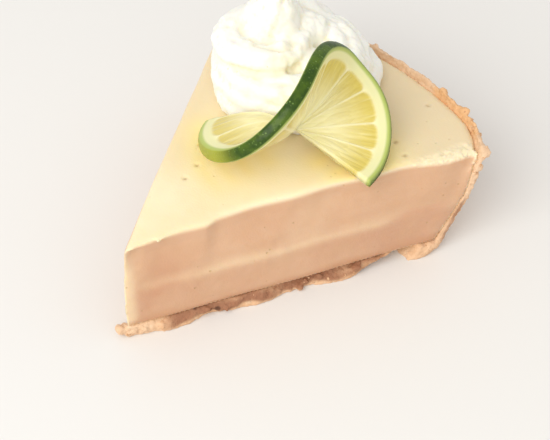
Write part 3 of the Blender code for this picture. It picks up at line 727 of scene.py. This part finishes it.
class StageSettings(bpy.types.PropertyGroup):
    key_power: strength_prop("Key light", "Power of the large soft light in front of the slice", 8.0, "POWER")
    fill_power: strength_prop("Fill light", "Power of the weak light at the side", 0.8, "POWER")
    room_light: strength_prop("Room light", "Strength of the pale room", 0.78)
    floor_colour: colour_prop("Floor", "Plain pale floor", (0.80, 0.79, 0.77))


# Pieces


def from_tip(places):
    """Three lists, x, y and z, of places as distances from the slice's tip."""
    return (places - (TIP_X, TIP_Y, 0.0)).T


def cut_masks(places, normals):
    """1 on the +X cut side, and 1 on the -X cut side."""
    x, y, _ = from_tip(places)
    for side in (1, -1):
        outward = np.array((side * cos(HALF_ANGLE), -sin(HALF_ANGLE), 0.0))
        off_plane = abs(x * outward[0] + y * outward[1])
        yield ramp(normals @ outward, 0.45, 0.75) * ramp(off_plane, 0.0065, 0.0045)


def off_lime(places):
    """Distance of each place, seen from above, to the low parts of the lime; more where they hang higher."""
    spokes, _ = lime_spokes(60)
    hub = np.array(LIME_PLACE)
    rim = hub + spokes * LIME_RADIUS
    low = rim[rim[:, 2] < FILLING_TOP + LIME_LOW]
    spots = np.concatenate([hub + (low - hub) * share for share in (0.35, 0.6, 0.8, 1.0)])
    return np.min([
        np.hypot(places[:, 0] - x, places[:, 1] - y) + 0.5 * (z - FILLING_TOP) for x, y, z in spots
    ], axis=0)


class PIE_OT_filling(bpy.types.Operator):
    """Make the set filling with its knife marks, pores and stains"""

    bl_idname = "pie.make_filling"
    bl_label = "Make the filling"

    def execute(self, context):
        settings = context.scene.pie_filling
        piece = even_mesh(copy_of_node("filling", "set_filling"), settings.cell, settings.softening)
        mesh = piece.data
        places, normals = places_of(mesh), normals_of(mesh)
        x, y, z = from_tip(places)
        distance, sunk = np.hypot(x, y), FILLING_TOP - z
        off_right = abs(x * cos(HALF_ANGLE) - y * sin(HALF_ANGLE))
        off_left = abs(x * cos(HALF_ANGLE) + y * sin(HALF_ANGLE))
        cut = np.maximum(*cut_masks(places, normals))
        top = ramp(normals[:, 2], 0.5, 0.9)
        sway = wander(places, 0.012, 1.0)

        streaks = wander(places, (0.030, 0.030, 0.0016), 3.0)
        streaks += 0.6 * wander(places, (0.014, 0.014, 0.0009), 8.0)
        curd = wander(places, 0.0045, 5.0) + 0.7 * wander(places, 0.0021, 6.0)
        torn = 0.5 + 0.5 * ramp(wander(places, 0.012, 9.0), 0.0, 0.5)
        amount = cut * ramp(sunk, 0.0015, 0.0055)
        amount *= settings.streak_depth * streaks + settings.curd_depth * curd * torn
        crumbly = ramp(sunk, 0.0022, 0.0010) * ramp(distance, *CRUMBLY_FROM)
        crumbly *= ramp(off_right - 0.002 * torn, 0.0062, 0.0032)
        amount += crumbly * settings.crumble_depth * (grains(places, 0.0013, 4.0) - 0.6)
        amount += top * settings.wave_depth * (wander(places, 0.014, 2.0) + 0.4 * wander(places, 0.005, 4.0))
        off_pins = np.min([np.hypot(x - hole_x, y - hole_y) for hole_x, hole_y in PIN_HOLES], axis=0)
        pin = top * ramp(off_pins, PIN_RADIUS, 0.0)
        amount -= PIN_DEPTH * pin
        amount += settings.seating * (1 - cut) * ramp(normals[:, 2], 0.3, 0.0)
        rise_along(mesh, amount)

        near = off_lime(places)
        # Painted highlight along the ledge where it catches the light, and a paler band at the tip's edge.
        ledge = bell(z - LEDGE_HEIGHT + 0.0006 + 0.0005 * sway, LEDGE_WIDTH)
        ledge *= ramp(wander(places, (0.018, 0.018, 0.006), 15.0), -0.7, 0.3)
        # A darker band on the filling just above the base crust.
        soaked_to = SOAKED_HEIGHT + 0.0016 * wander(places, 0.011, 11.0)
        shaded = ramp(distance + 0.008 * wander(places, 0.02, 12.0), *BACK_SHADE)
        shaded = np.maximum(shaded, 0.9 * ramp(off_left, *LEFT_SHADE) * ramp(distance, *LEFT_SHADE_FROM))
        # Painted yellow light and shade that the lime throws on the top, in a narrow and a wide band.
        juice = 0.85 * bell(near, JUICE_NARROW) + 0.24 * bell(near, JUICE_WIDE)
        paint(
            mesh,
            juice=(top * juice).clip(0, 1),
            cut=cut * (1 - 0.7 * crumbly) * ramp(sunk, 0.0004, 0.0022),
            near_tip=0.75 * ramp(distance, *TIP_SHADE) * ramp(distance, 0.003, 0.009),
            ledge=np.maximum(0.32 * ledge, 0.55 * ramp(distance, *TIP_EDGE)),
            upper=ramp(z + 0.0004 * sway, LEDGE_HEIGHT, LEDGE_HEIGHT + 0.0016),
            soaked=0.85 * ramp(z - soaked_to, 0.0018, -0.0010),
            back=top * shaded * (1 - 0.8 * crumbly),
            pin=0.85 * pin**2,
        )
        hand_over(piece, filling_material(settings), "filling")
        return {"FINISHED"}


class PIE_OT_crust(bpy.types.Operator):
    """Make the crumb crust with its pressed grains"""

    bl_idname = "pie.make_crust"
    bl_label = "Make the crust"

    def execute(self, context):
        settings = context.scene.pie_crust
        piece = even_mesh(copy_of_node("crust", "crumb_crust"), settings.cell, settings.softening)
        mesh = piece.data
        places = places_of(mesh)
        x, y, z = from_tip(places)
        distance, turn = np.hypot(x, y), np.degrees(np.arctan2(x, y))
        ragged = wander(places, 0.006, 4.0)

        pressed = 1.1 * grains(places, settings.coarse_size, 1.0)
        pressed += 0.6 * grains(places, settings.fine_size, 2.0)
        amount = settings.relief * (pressed - 1.0 + 0.5 * wander(places, 0.006, 3.0))
        rise_along(mesh, amount * ramp(z, 0.0002, 0.0010))
        keep_off_floor(mesh)
        # The hollows are darkened with painted shade in the material.
        paint(mesh, hollow=hollowness(mesh, rounds=8, depth=0.00025))

        # The strip under the filling's edge is darker: partly baked colour and partly painted shade.
        below = ramp(z - 0.0012 * ragged, 0.0006, 0.0018) * ramp(z, *BAKED_HEIGHT)
        below *= ramp(distance - 0.004 * ragged, *BAKED_REACH) * ramp(distance, 0.009, 0.015)
        below *= ramp(wander(places, (0.009, 0.009, 0.003), 6.0), -0.9, 0.1)
        leaves = ramp(np.sin(2 * pi * ((distance - 0.45 * z) / LEAF_PITCH + 0.4 * ragged)), -0.2, 0.8)
        leaves *= ramp(turn, *LEAF_TURN) * ramp(distance, 0.086, 0.089)
        leaves *= ramp(z, 0.003, 0.005) * ramp(z, 0.021, 0.017)
        paint(mesh, baked=np.maximum(below, 0.9 * leaves))

        rim = ramp(z + 0.002 * ragged, *RIM_HEIGHT) * ramp(distance, *RIM_REACH)
        browned = ramp(turn + 4 * ragged, *BROWNED_TURN)
        corner = ramp(turn + 1.05 * ragged, *CORNER_TURN) * ramp(z, 0.014, 0.024)
        foot = ramp(turn, *FOOT_TURN) * ramp(z, 0.014, 0.010) * ramp(distance, 0.084, 0.088)
        bulge = ramp(distance, *BULGE_REACH)
        paint(
            mesh,
            toasted=rim * browned * (1 - corner),
            broken=np.max([corner, 0.4 * foot, 0.8 * bulge, 0.9 * rim * (1 - browned)], axis=0),
        )
        hand_over(piece, crust_material(settings), "crust")
        return {"FINISHED"}


def crumb_tree(material):
    """Geometry Nodes: loose crumbs over a surface, each with its own size, turn, knocks and tone."""
    tree = bpy.data.node_groups.new("Loose crumbs", "GeometryNodeTree")
    numbers = {"Density": "Float", "Smallest": "Float", "Largest": "Float", "Seed": "Int"}
    for name, kind in {"Geometry": "Geometry", **numbers}.items():
        tree.interface.new_socket(name=name, in_out="INPUT", socket_type="NodeSocket" + kind)
    tree.interface.new_socket(name="Geometry", in_out="OUTPUT", socket_type="NodeSocketGeometry")
    nodes = Nodes(tree)
    entry, end = nodes.add("NodeGroupInput").outputs, nodes.add("NodeGroupOutput").inputs

    shed = nodes.add("GeometryNodeInputNamedAttribute", {"Name": "shed"}, data_type="FLOAT")
    density = nodes.times(entry["Density"], shed.outputs["Attribute"])
    scatter = {"Mesh": entry["Geometry"], "Density": density, "Seed": entry["Seed"]}
    points = nodes.add("GeometryNodeDistributePointsOnFaces", scatter).outputs["Points"]
    skewed = nodes.math("POWER", nodes.draw(1, 0.0, 1.0), CRUMB_SKEW)
    span = nodes.math("SUBTRACT", entry["Largest"], entry["Smallest"])
    size = nodes.math("MULTIPLY_ADD", skewed, span, entry["Smallest"])
    scale = nodes.scaled(nodes.draw(2, (0.7, 0.6, 0.5), (1.3, 1.1, 0.9)), size)
    turn = nodes.draw(3, (0.0, 0.0, 0.0), (6.28, 6.28, 6.28))
    lump = nodes.add("GeometryNodeMeshIcoSphere", {"Radius": 1.0, "Subdivisions": 2}).outputs["Mesh"]
    placing = {"Points": points, "Instance": lump, "Rotation": turn, "Scale": scale}
    made = nodes.add("GeometryNodeInstanceOnPoints", placing).outputs[0]
    toning = {"Geometry": made, "Name": "tone", "Value": nodes.draw(4, 0.05, 1.0)}
    made = nodes.add("GeometryNodeStoreNamedAttribute", toning, data_type="FLOAT", domain="INSTANCE")
    made = nodes.add("GeometryNodeRealizeInstances", {"Geometry": made.outputs[0]}).outputs[0]
    knock = nodes.noise(nodes.add("GeometryNodeInputPosition").outputs[0], 1500.0, 1.0)["Color"]
    offset = nodes.scaled(nodes.vectors("SUBTRACT", knock, (0.5, 0.5, 0.5)), CRUMB_KNOCK)
    made = nodes.add("GeometryNodeSetPosition", {"Geometry": made, "Offset": offset}).outputs[0]
    made = nodes.add("GeometryNodeSetMaterial", {"Geometry": made, "Material": material}).outputs[0]
    nodes.feed(end[0], made)
    return tree


class PIE_OT_crumbs(bpy.types.Operator):
    """Scatter loose crumbs where the crust sheds them"""

    bl_idname = "pie.scatter_crumbs"
    bl_label = "Scatter the crumbs"

    def execute(self, context):
        settings = context.scene.pie_crumbs
        source = bpy.data.objects["crumb_crust"]
        piece = new_piece("loose_crumbs", source.data.copy())
        mesh = piece.data
        places, normals = places_of(mesh), normals_of(mesh)
        x, y, z = from_tip(places)
        distance, turn, up = np.hypot(x, y), np.degrees(np.arctan2(x, y)), normals[:, 2]
        rim = ramp(z, 0.0345, 0.0360)
        corner = ramp(turn, 22.0, 25.0) * ramp(z, 0.018, 0.026)
        foot = ramp(distance, 0.090, 0.094) * ramp(z, 0.006, 0.003) * ramp(up, -0.3, 0.0)
        cut = np.maximum(*cut_masks(places, normals)) * ramp(z, 0.0052, 0.0037)
        wall = ramp(distance, 0.095, 0.099) * ramp(up, -0.35, -0.05)
        patches = 0.35 + 0.65 * ramp(wander(places, 0.008, 14.0), -0.25, 0.25)
        shed = np.max([0.75 * rim, corner, 0.4 * foot, 0.3 * cut, 0.1 * wall], axis=0) * patches
        paint(mesh, shed=shed * ramp(z, 0.0004, 0.0009))

        material = loose_crumb_material(context.scene.pie_crust)
        tree = crumb_tree(material)
        scatter = piece.modifiers.new("Loose crumbs", "NODES")
        scatter.node_group = tree
        values = {
            "Density": settings.number, "Smallest": settings.smallest, "Largest": settings.largest,
            "Seed": settings.seed,
        }
        for item in tree.interface.items_tree:
            if item.in_out == "INPUT" and item.name in values:
                scatter[item.identifier] = values[item.name]
        settle(piece)
        keep_off_floor(piece.data)
        hand_over(piece, material, None)
        return {"FINISHED"}


def rope_shares(t):
    """How far the rope has turned at t, and how far it has stepped up to the coil and curled at its end."""
    turned = ROPE_SWEEP * t
    return turned, ramp(turned, STEP_FROM, STEP_TO), ramp(turned, CURL_FROM, ROPE_SWEEP)


def rope_point(t):
    """Middle of the cream rope and its heading, t from 0 at its start to 1 at its curled end."""
    turned, step, curl = rope_shares(t)
    angle = ROPE_START + turned
    shoulder = (1 - step) * bell(angle - SHOULDER_HEADING, SHOULDER_SPREAD)
    back = (1 - step) * bell(angle - BACK_HEADING, BACK_SPREAD)
    reach = RING_REACH + (COIL_REACH - RING_REACH) * step - SHOULDER_IN * shoulder
    reach += START_OUT * ramp(turned, START_TURN, 0.0) + CURL_OUT * curl
    reach -= TUCK_IN * ramp(turned, ROPE_SWEEP - TUCK_OVER, ROPE_SWEEP)
    height = RING_HEIGHT + (COIL_HEIGHT - RING_HEIGHT) * step + CURL_UP * curl + BACK_UP * back
    middle = (reach * cos(angle) + COIL_OFFSET[0] * step, reach * sin(angle) + COIL_OFFSET[1] * step, height)
    return Vector(middle), angle


def rope_radius(t):
    turned, step, curl = rope_shares(t)
    start = sqrt(ramp(turned, -0.06, 0.84))
    return float((RING_ROPE + (COIL_ROPE - RING_ROPE) * step) * start * (1 - CURL_TAPER * curl))


def fluted(radius, wave):
    """Radius of a star-shaped section with rounded ridges and sharp valleys, where the wave has its zeros."""
    return radius * (1 - FLUTE_DEPTH * (1 - abs(sin(wave))) ** 1.5)


def turns(count):
    """Evenly spaced angles round a circle."""
    return [2 * pi * step / count for step in range(count)]


def rope_section(t, around):
    middle, angle = rope_point(t)
    ahead = (rope_point(t + 0.002)[0] - rope_point(t - 0.002)[0]).normalized()
    outward = Vector((cos(angle), sin(angle), 0.0))
    outward = (outward - outward.dot(ahead) * ahead).normalized()
    upward = outward.cross(ahead)
    radius = rope_radius(t)
    points = []
    for turn in turns(around):
        size = fluted(radius, ROPE_FLUTES / 2 * (turn + FLUTE_TURN))
        lean = turn + 0.5 * t
        points.append(middle + size * (cos(lean) * outward + sin(lean) * upward))
    return points


def heart_loop(height, radius, around):
    share = (height - HEART_FOOT) / (PEAK_HEIGHT - HEART_FOOT)
    lean = PEAK_LEAN * max(share, 0.0) ** 2
    loop = []
    for angle in turns(around):
        size = fluted(radius, HEART_RIDGES / 2 * angle - HEART_TWIST * share)
        size *= 1 + HEART_SHOULDER * (1 - share) * max(-cos(angle), 0.0)
        x, y = HEART_OFFSET[0] + lean + size * cos(angle), HEART_OFFSET[1] + lean + size * sin(angle)
        loop.append((x, y, height))
    return loop


def heart_mesh(levels=60, around=120):
    """The mound inside the coil, which ends in the peak left where the piping stopped."""
    loops = [heart_loop(HEART_LOW, HEART_RADIUS, around)]
    for level in range(levels):
        share = level / levels
        height = HEART_FOOT + (PEAK_HEIGHT - HEART_FOOT) * share
        loops.append(heart_loop(height, HEART_RADIUS * (1 - share**1.9) + PEAK_RADIUS * share, around))
    high = (HEART_OFFSET[0] + PEAK_LEAN, HEART_OFFSET[1] + PEAK_LEAN, PEAK_HEIGHT)
    return mesh_from_loops("heart", loops, (*HEART_OFFSET, HEART_LOW), high)


def spread_mesh(lengthwise=240, around=48):
    """The foot, which has slumped outwards under the weight of the ring."""
    points, faces = [], []
    for station, heading in enumerate(turns(lengthwise)):
        wave = SPREAD_WAVE * (sin(3 * heading + 0.4) + 0.6 * sin(7 * heading))
        wave += LOBE_OUT * bell(heading - LOBE_HEADING, LOBE_SPREAD)
        here, ahead = station * around, (station + 1) % lengthwise * around
        for step, turn in enumerate(turns(around)):
            reach = SPREAD_REACH + wave + SPREAD_WIDE * cos(turn)
            height = SPREAD_HEIGHT + SPREAD_TALL * sin(turn)
            points.append((reach * cos(heading), reach * sin(heading), height))
            after = (step + 1) % around
            faces.append((here + step, here + after, ahead + after, ahead + step))
    return mesh_from_points("spread", points, faces)


def cream_mesh(sections, around):
    """The rope, the heart, the spread foot and the spheres that fill the gaps between them, in one mesh."""
    loops = [rope_section(i / (sections - 1), around) for i in range(sections)]
    rope = mesh_from_loops("rope", loops, rope_point(0.0)[0], rope_point(1.0)[0])
    bm = bmesh.new()
    for mesh in (rope, heart_mesh(), spread_mesh()):
        bm.from_mesh(mesh)
        bpy.data.meshes.remove(mesh)
    for *middle, radius in ((0.0, 0.0, 0.0, FILLER_RADIUS), *CREASE_FILLS):
        place = Matrix.Translation(middle)
        bmesh.ops.create_uvsphere(bm, u_segments=48, v_segments=24, radius=radius, matrix=place)
    bmesh.ops.recalc_face_normals(bm, faces=bm.faces)
    mesh = bpy.data.meshes.new("piped_cream")
    bm.to_mesh(mesh)
    bm.free()
    return mesh


def near_line(places, line):
    """Distance of each place from a line through the given points."""
    points = np.array(line)
    near = np.full(len(places), np.inf)
    for start, along in zip(points[:-1], np.diff(points, axis=0)):
        share = np.clip((places - start) @ along / (along @ along), 0.0, 1.0)
        near = np.minimum(near, np.linalg.norm(places - start - share[:, None] * along, axis=1))
    return near


def press_lime_into(piece, room):
    """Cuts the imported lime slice, with some room round it, out of the cream while it stands at the origin."""
    lime = copy_of_node("lime_twist", "lime_room")
    rise_along(lime.data, np.full(len(lime.data.vertices), room))
    move_to(lime.data, places_of(lime.data) - CREAM_PLACE)
    cut = piece.modifiers.new("Lime", "BOOLEAN")
    cut.operation = "DIFFERENCE"
    cut.object = lime
    cut.solver = "EXACT"
    settle(piece)
    bpy.data.objects.remove(lime, do_unlink=True)


def cut_flat(mesh, height):
    """Cuts a closed mesh off at a height and closes it with a flat face."""
    bm = bmesh.new()
    bm.from_mesh(mesh)
    everything = list(bm.verts) + list(bm.edges) + list(bm.faces)
    plane = {"plane_co": (0, 0, height), "plane_no": (0, 0, 1)}
    cut = bmesh.ops.bisect_plane(bm, geom=everything, clear_inner=True, **plane)
    rim = [edge for edge in cut["geom_cut"] if isinstance(edge, bmesh.types.BMEdge)]
    bmesh.ops.triangle_fill(bm, edges=rim, use_beauty=True)
    bmesh.ops.recalc_face_normals(bm, faces=bm.faces)
    bm.to_mesh(mesh)
    bm.free()


class PIE_OT_cream(bpy.types.Operator):
    """Pipe the whipped cream: a fluted rope in a ring and a smaller coil round a peaked heart"""

    bl_idname = "pie.make_cream"
    bl_label = "Pipe the cream"

    def execute(self, context):
        settings = context.scene.pie_cream
        piece = new_piece("piped_cream", cream_mesh(settings.sections, settings.around))
        even_mesh(piece, settings.cell, 0)
        press_lime_into(piece, settings.lime_room)
        even_mesh(piece, settings.cell, settings.softening)
        mesh = piece.data
        places = places_of(mesh)

        crown = ramp(places[:, 2], *CROWN_HEIGHT)
        lumps = wander(places, 0.0075, 3.0) + 0.6 * wander(places, 0.0034, 4.0)
        lumps += 1.3 * crown * wander(places, 0.0055, 7.0)
        ragged = ramp(wander(places, 0.0090, 5.0), -0.3125, 0.3125)
        ripple = (wander(places, 0.0024, 1.0) + 0.6 * wander(places, 0.0012, 2.0)) * (0.35 + ragged)
        pit = bell(np.linalg.norm(places - CREAM_PIT, axis=1), CREAM_PIT_RADIUS)
        groove = np.max([bell(near_line(places, line), GROOVE_WIDTH) for line in CREAM_GROOVES], axis=0)
        amount = settings.lump * lumps + settings.ripple * ripple
        rise_along(mesh, amount - settings.pit * pit - settings.groove * groove)
        # The grooves and the pit here, and the hollows below, set where the material paints shade.
        paint(mesh, groove=np.maximum(groove, 0.9 * pit))
        cut_flat(mesh, 0.0)
        paint(mesh, hollow=hollowness(mesh, rounds=14, depth=0.00035))
        move_to(mesh, places_of(mesh) + CREAM_PLACE)
        hand_over(piece, cream_material(settings), "whipped_cream")
        return {"FINISHED"}


def spline(points, count):
    """Natural cubic spline through evenly spaced points, read at count places."""
    last = len(points) - 1
    system = 4 * np.eye(last + 1) + np.eye(last + 1, k=1) + np.eye(last + 1, k=-1)
    system[0], system[last] = np.eye(last + 1)[0], np.eye(last + 1)[last]
    pull = np.zeros_like(points)
    pull[1:-1] = 6 * (points[2:] - 2 * points[1:-1] + points[:-2])
    bend = np.linalg.solve(system, pull)
    place = np.linspace(0, last, count)
    start = np.minimum(place.astype(int), last - 1)
    u = (place - start)[:, None]
    v = 1 - u
    straight = v * points[start] + u * points[start + 1]
    return straight + ((v**3 - v) * bend[start] + (u**3 - u) * bend[start + 1]) / 6


def lime_spokes(count):
    """Unit vectors from the slice's centre to its rim, and the slice's face normal along each."""
    heading, lift = np.radians(np.array(LIME_SPOKES, float)).T
    named = np.stack([np.cos(lift) * np.cos(heading), np.cos(lift) * np.sin(heading), np.sin(lift)], axis=1)
    spokes = spline(named, count)
    spokes /= np.linalg.norm(spokes, axis=1)[:, None]
    normals = np.cross(spokes, np.gradient(spokes, axis=0))
    normals /= np.linalg.norm(normals, axis=1)[:, None]
    return spokes, normals


def lime_columns(reaches):
    """The lime mesh's columns, as side, reach and turn: out over the front, round the rind, in behind."""
    front = [(1, reach, 0.0) for reach in reaches]
    rind = [(0, 1.0, turn) for turn in np.linspace(RIND_TURN, -RIND_TURN, RIND_ROWS)]
    back = [(-1, reach, 0.0) for reach in reaches[::-1]]
    return front + rind + back


def lime_faces(stations, count):
    """Faces of the lime's mesh, whose last two points are the hub's front and back."""
    high, low = stations * count, stations * count + 1
    faces = []
    for station in range(stations - 1):
        left, right = station * count, (station + 1) * count
        faces.append((high, left, right))
        faces += [(left + k, left + k + 1, right + k + 1, right + k) for k in range(count - 1)]
        faces.append((low, right + count - 1, left + count - 1))
    for start, turn in ((0, 1), ((stations - 1) * count, -1)):
        ring = [high, *range(start, start + count), low]
        last = len(ring) - 1
        for k in range(last // 2 - 1):
            faces.append([ring[k], ring[last - k], ring[last - k - 1], ring[k + 1]][::turn])
        faces.append([ring[last // 2 - 1], ring[last // 2 + 1], ring[last // 2]][::turn])
    return faces


def with_hub(grid, hub=0.0):
    """The grid's values in one list, followed by those of the hub's two points."""
    values = grid.reshape(-1, *grid.shape[2:])
    return np.concatenate([values, np.zeros((2, *values.shape[1:])) + hub])


class PIE_OT_lime(bpy.types.Operator):
    """Make the twisted lime slice with its segments, pith and rind"""

    bl_idname = "pie.make_lime"
    bl_label = "Make the lime slice"

    def execute(self, context):
        settings = context.scene.pie_lime
        stations = settings.stations
        spokes, normals = lime_spokes(stations)
        share = np.linspace(0.0, 1.0, stations)
        bow = LOBE_BOW * ramp(share, 0.27, 0.05)
        front = 1 - END_THINNING * ramp(share, 0.86, 1.0)
        segment = share * LIME_SEGMENTS + LIME_PHASE + 0.07 * np.sin(14.0 * share + 0.6)
        within = segment - np.floor(segment)
        dark_to = RIND_DARK_TO - RIND_DARK_LOSS * ramp(share, 0.52, 0.64)
        columns = lime_columns(np.linspace(*FACE_REACH, settings.reaches))
        count = len(columns)
        reach_of, flesh_of, rind_of = np.zeros((3, stations, count))
        grid, pulp = np.empty((2, stations, count, 3))
        for column, (side, reach, turn) in enumerate(columns):
            across = 2 * pi * LIME_RADIUS * reach / LIME_SEGMENTS
            half = (LIME_HUB + (LIME_THICKNESS - LIME_HUB) * ramp(reach, 0.0, 0.4)) / 2
            kept = half * (front if side == 1 or turn > 0 else np.ones(stations))
            if side:
                from_seam = np.minimum(within, 1 - within) * across
                rounding = 0.055 * (2 * abs(within - 0.5)) ** 5
                flesh = ramp(from_seam, *MEMBRANE) * ramp(reach + rounding, *PULP_REACH)
                depth = kept - np.minimum(settings.sink, 0.4 * half) * flesh
                raised = np.outer(bow * sin(pi * reach**0.8), (0.0, 0.0, 1.0))
                grid[:, column] = spokes * LIME_RADIUS * reach + raised + side * normals * depth[:, None]
                flesh_of[:, column] = flesh
            else:
                out = RIND_REACH + RIND_BULGE * cos(radians(turn)) ** 0.7
                grid[:, column] = spokes * LIME_RADIUS * out + normals * (kept * sin(radians(turn)))[:, None]
                rind_of[:, column] = 1 - 0.65 * ramp(abs(turn), dark_to, RIND_TURN)
            reach_of[:, column] = reach
            pulp[:, column, 0] = (within - 0.5) * across
            pulp[:, column, 1] = LIME_RADIUS * reach
            pulp[:, column, 2] = 0.05 * (np.floor(segment) + 0.4 * side)

        hub = normals.mean(axis=0) * LIME_HUB / 2
        mesh = mesh_from_points("lime_slice", with_hub(grid, (hub, -hub)), lime_faces(stations, count))
        face_outwards(mesh)
        piece = new_piece("lime_slice", mesh)
        flesh, rind, pulp = with_hub(flesh_of), with_hub(rind_of), with_hub(pulp)
        sacs = wander(pulp, (0.0019, 0.0046, 0.0100), 3.0)
        gaps = 1 - grains(places_of(mesh), 0.0009, 5.0)
        rise_along(mesh, settings.sac_height * sacs * flesh - settings.dimple_depth * gaps * rind)
        # Painted light on the rind towards its low left end.
        ripe = np.repeat(ramp(share, 0.235, 0.16)[:, None], count, axis=1)
        paint(mesh, flesh=flesh, rind=rind, pulp=pulp, reach=with_hub(reach_of), ripe=with_hub(ripe))
        move_to(mesh, places_of(mesh) + LIME_PLACE)
        hand_over(piece, lime_material(settings), "lime_twist")
        return {"FINISHED"}


def aimed(name, data, place, aim):
    """Puts a light or a camera at a place and turns it to its aim."""
    made = new_piece(name, data)
    made.location = place
    made.rotation_euler = (Vector(aim) - Vector(place)).to_track_quat("-Z", "Y").to_euler()
    return made


def area_light(name, place, power, tint):
    light = bpy.data.lights.new(name, "AREA")
    light.shape = "DISK"
    light.size = LIGHT_SIZE
    light.energy = power
    light.color = tint
    aimed(name, light, place, LIGHT_AIM)


class PIE_OT_stage(bpy.types.Operator):
    """Set the camera, the floor and the soft studio light"""

    bl_idname = "pie.set_stage"
    bl_label = "Set the stage"

    def execute(self, context):
        settings = context.scene.pie_stage
        scene = context.scene
        scene.view_settings.view_transform = "Standard"
        corners = [(x * FLOOR_REACH, y * FLOOR_REACH, 0.0) for x, y in ((-1, -1), (1, -1), (1, 1), (-1, 1))]
        floor = new_piece("floor", mesh_from_points("floor", corners, [(0, 1, 2, 3)]))
        look = Look("pale floor", Roughness=0.85)
        cloudy = look.mottle(scale=2.0, detail=2.0, start=0.2, end=0.8)
        tint = tuple(0.985 * value for value in settings.floor_colour)
        colour = look.layers(settings.floor_colour, (cloudy, tint))
        floor.data.materials.append(look.finish(Base_Color=colour))

        world = bpy.data.worlds.new("pale room")
        scene.world = world
        world.use_nodes = True
        room = world.node_tree.nodes["Background"].inputs
        room["Color"].default_value = (1.0, 0.985, 0.965, 1.0)
        room["Strength"].default_value = settings.room_light
        area_light("key", KEY_PLACE, settings.key_power, (1.0, 0.985, 0.95))
        area_light("fill", FILL_PLACE, settings.fill_power, (1.0, 0.96, 0.92))

        lens = bpy.data.cameras.new("camera")
        lens.lens = CAMERA_LENS
        lens.sensor_width = 36
        lens.clip_start = 0.01
        tip = Vector((TIP_X, TIP_Y, 0.0))
        scene.camera = aimed("camera", lens, tip + Vector(CAMERA_PLACE), tip + Vector(CAMERA_AIM))
        return {"FINISHED"}


STEPS = (
    (PIE_OT_filling, "pie_filling", FillingSettings),
    (PIE_OT_crust, "pie_crust", CrustSettings),
    (PIE_OT_crumbs, "pie_crumbs", CrumbSettings),
    (PIE_OT_cream, "pie_cream", CreamSettings),
    (PIE_OT_lime, "pie_lime", LimeSettings),
    (PIE_OT_stage, "pie_stage", StageSettings),
)


class PIE_PT_slice(bpy.types.Panel):
    """Lists the pieces of the slice with their settings"""

    bl_idname = "PIE_PT_slice"
    bl_label = "Key lime pie slice"
    bl_space_type = "VIEW_3D"
    bl_region_type = "UI"
    bl_category = "Pie"

    def draw(self, context):
        for operator, holder, group in STEPS:
            box = self.layout.box()
            for name in group.__annotations__:
                box.prop(getattr(context.scene, holder), name)
            box.operator(operator.bl_idname)


def register():
    for operator, holder, group in STEPS:
        bpy.utils.register_class(group)
        bpy.utils.register_class(operator)
        setattr(bpy.types.Scene, holder, PointerProperty(type=group))
    bpy.utils.register_class(PIE_PT_slice)


def unregister():
    bpy.utils.unregister_class(PIE_PT_slice)
    for operator, holder, group in reversed(STEPS):
        delattr(bpy.types.Scene, holder)
        bpy.utils.unregister_class(operator)
        bpy.utils.unregister_class(group)


def main():
    register()
    make_mottle_group()
    make_pores_group()
    make_grain_group()
    bpy.ops.pie.make_filling()
    bpy.ops.pie.make_crust()
    bpy.ops.pie.scatter_crumbs()
    bpy.ops.pie.make_cream()
    bpy.ops.pie.make_lime()
    bpy.ops.pie.set_stage()


if __name__ == "__main__":
    main()
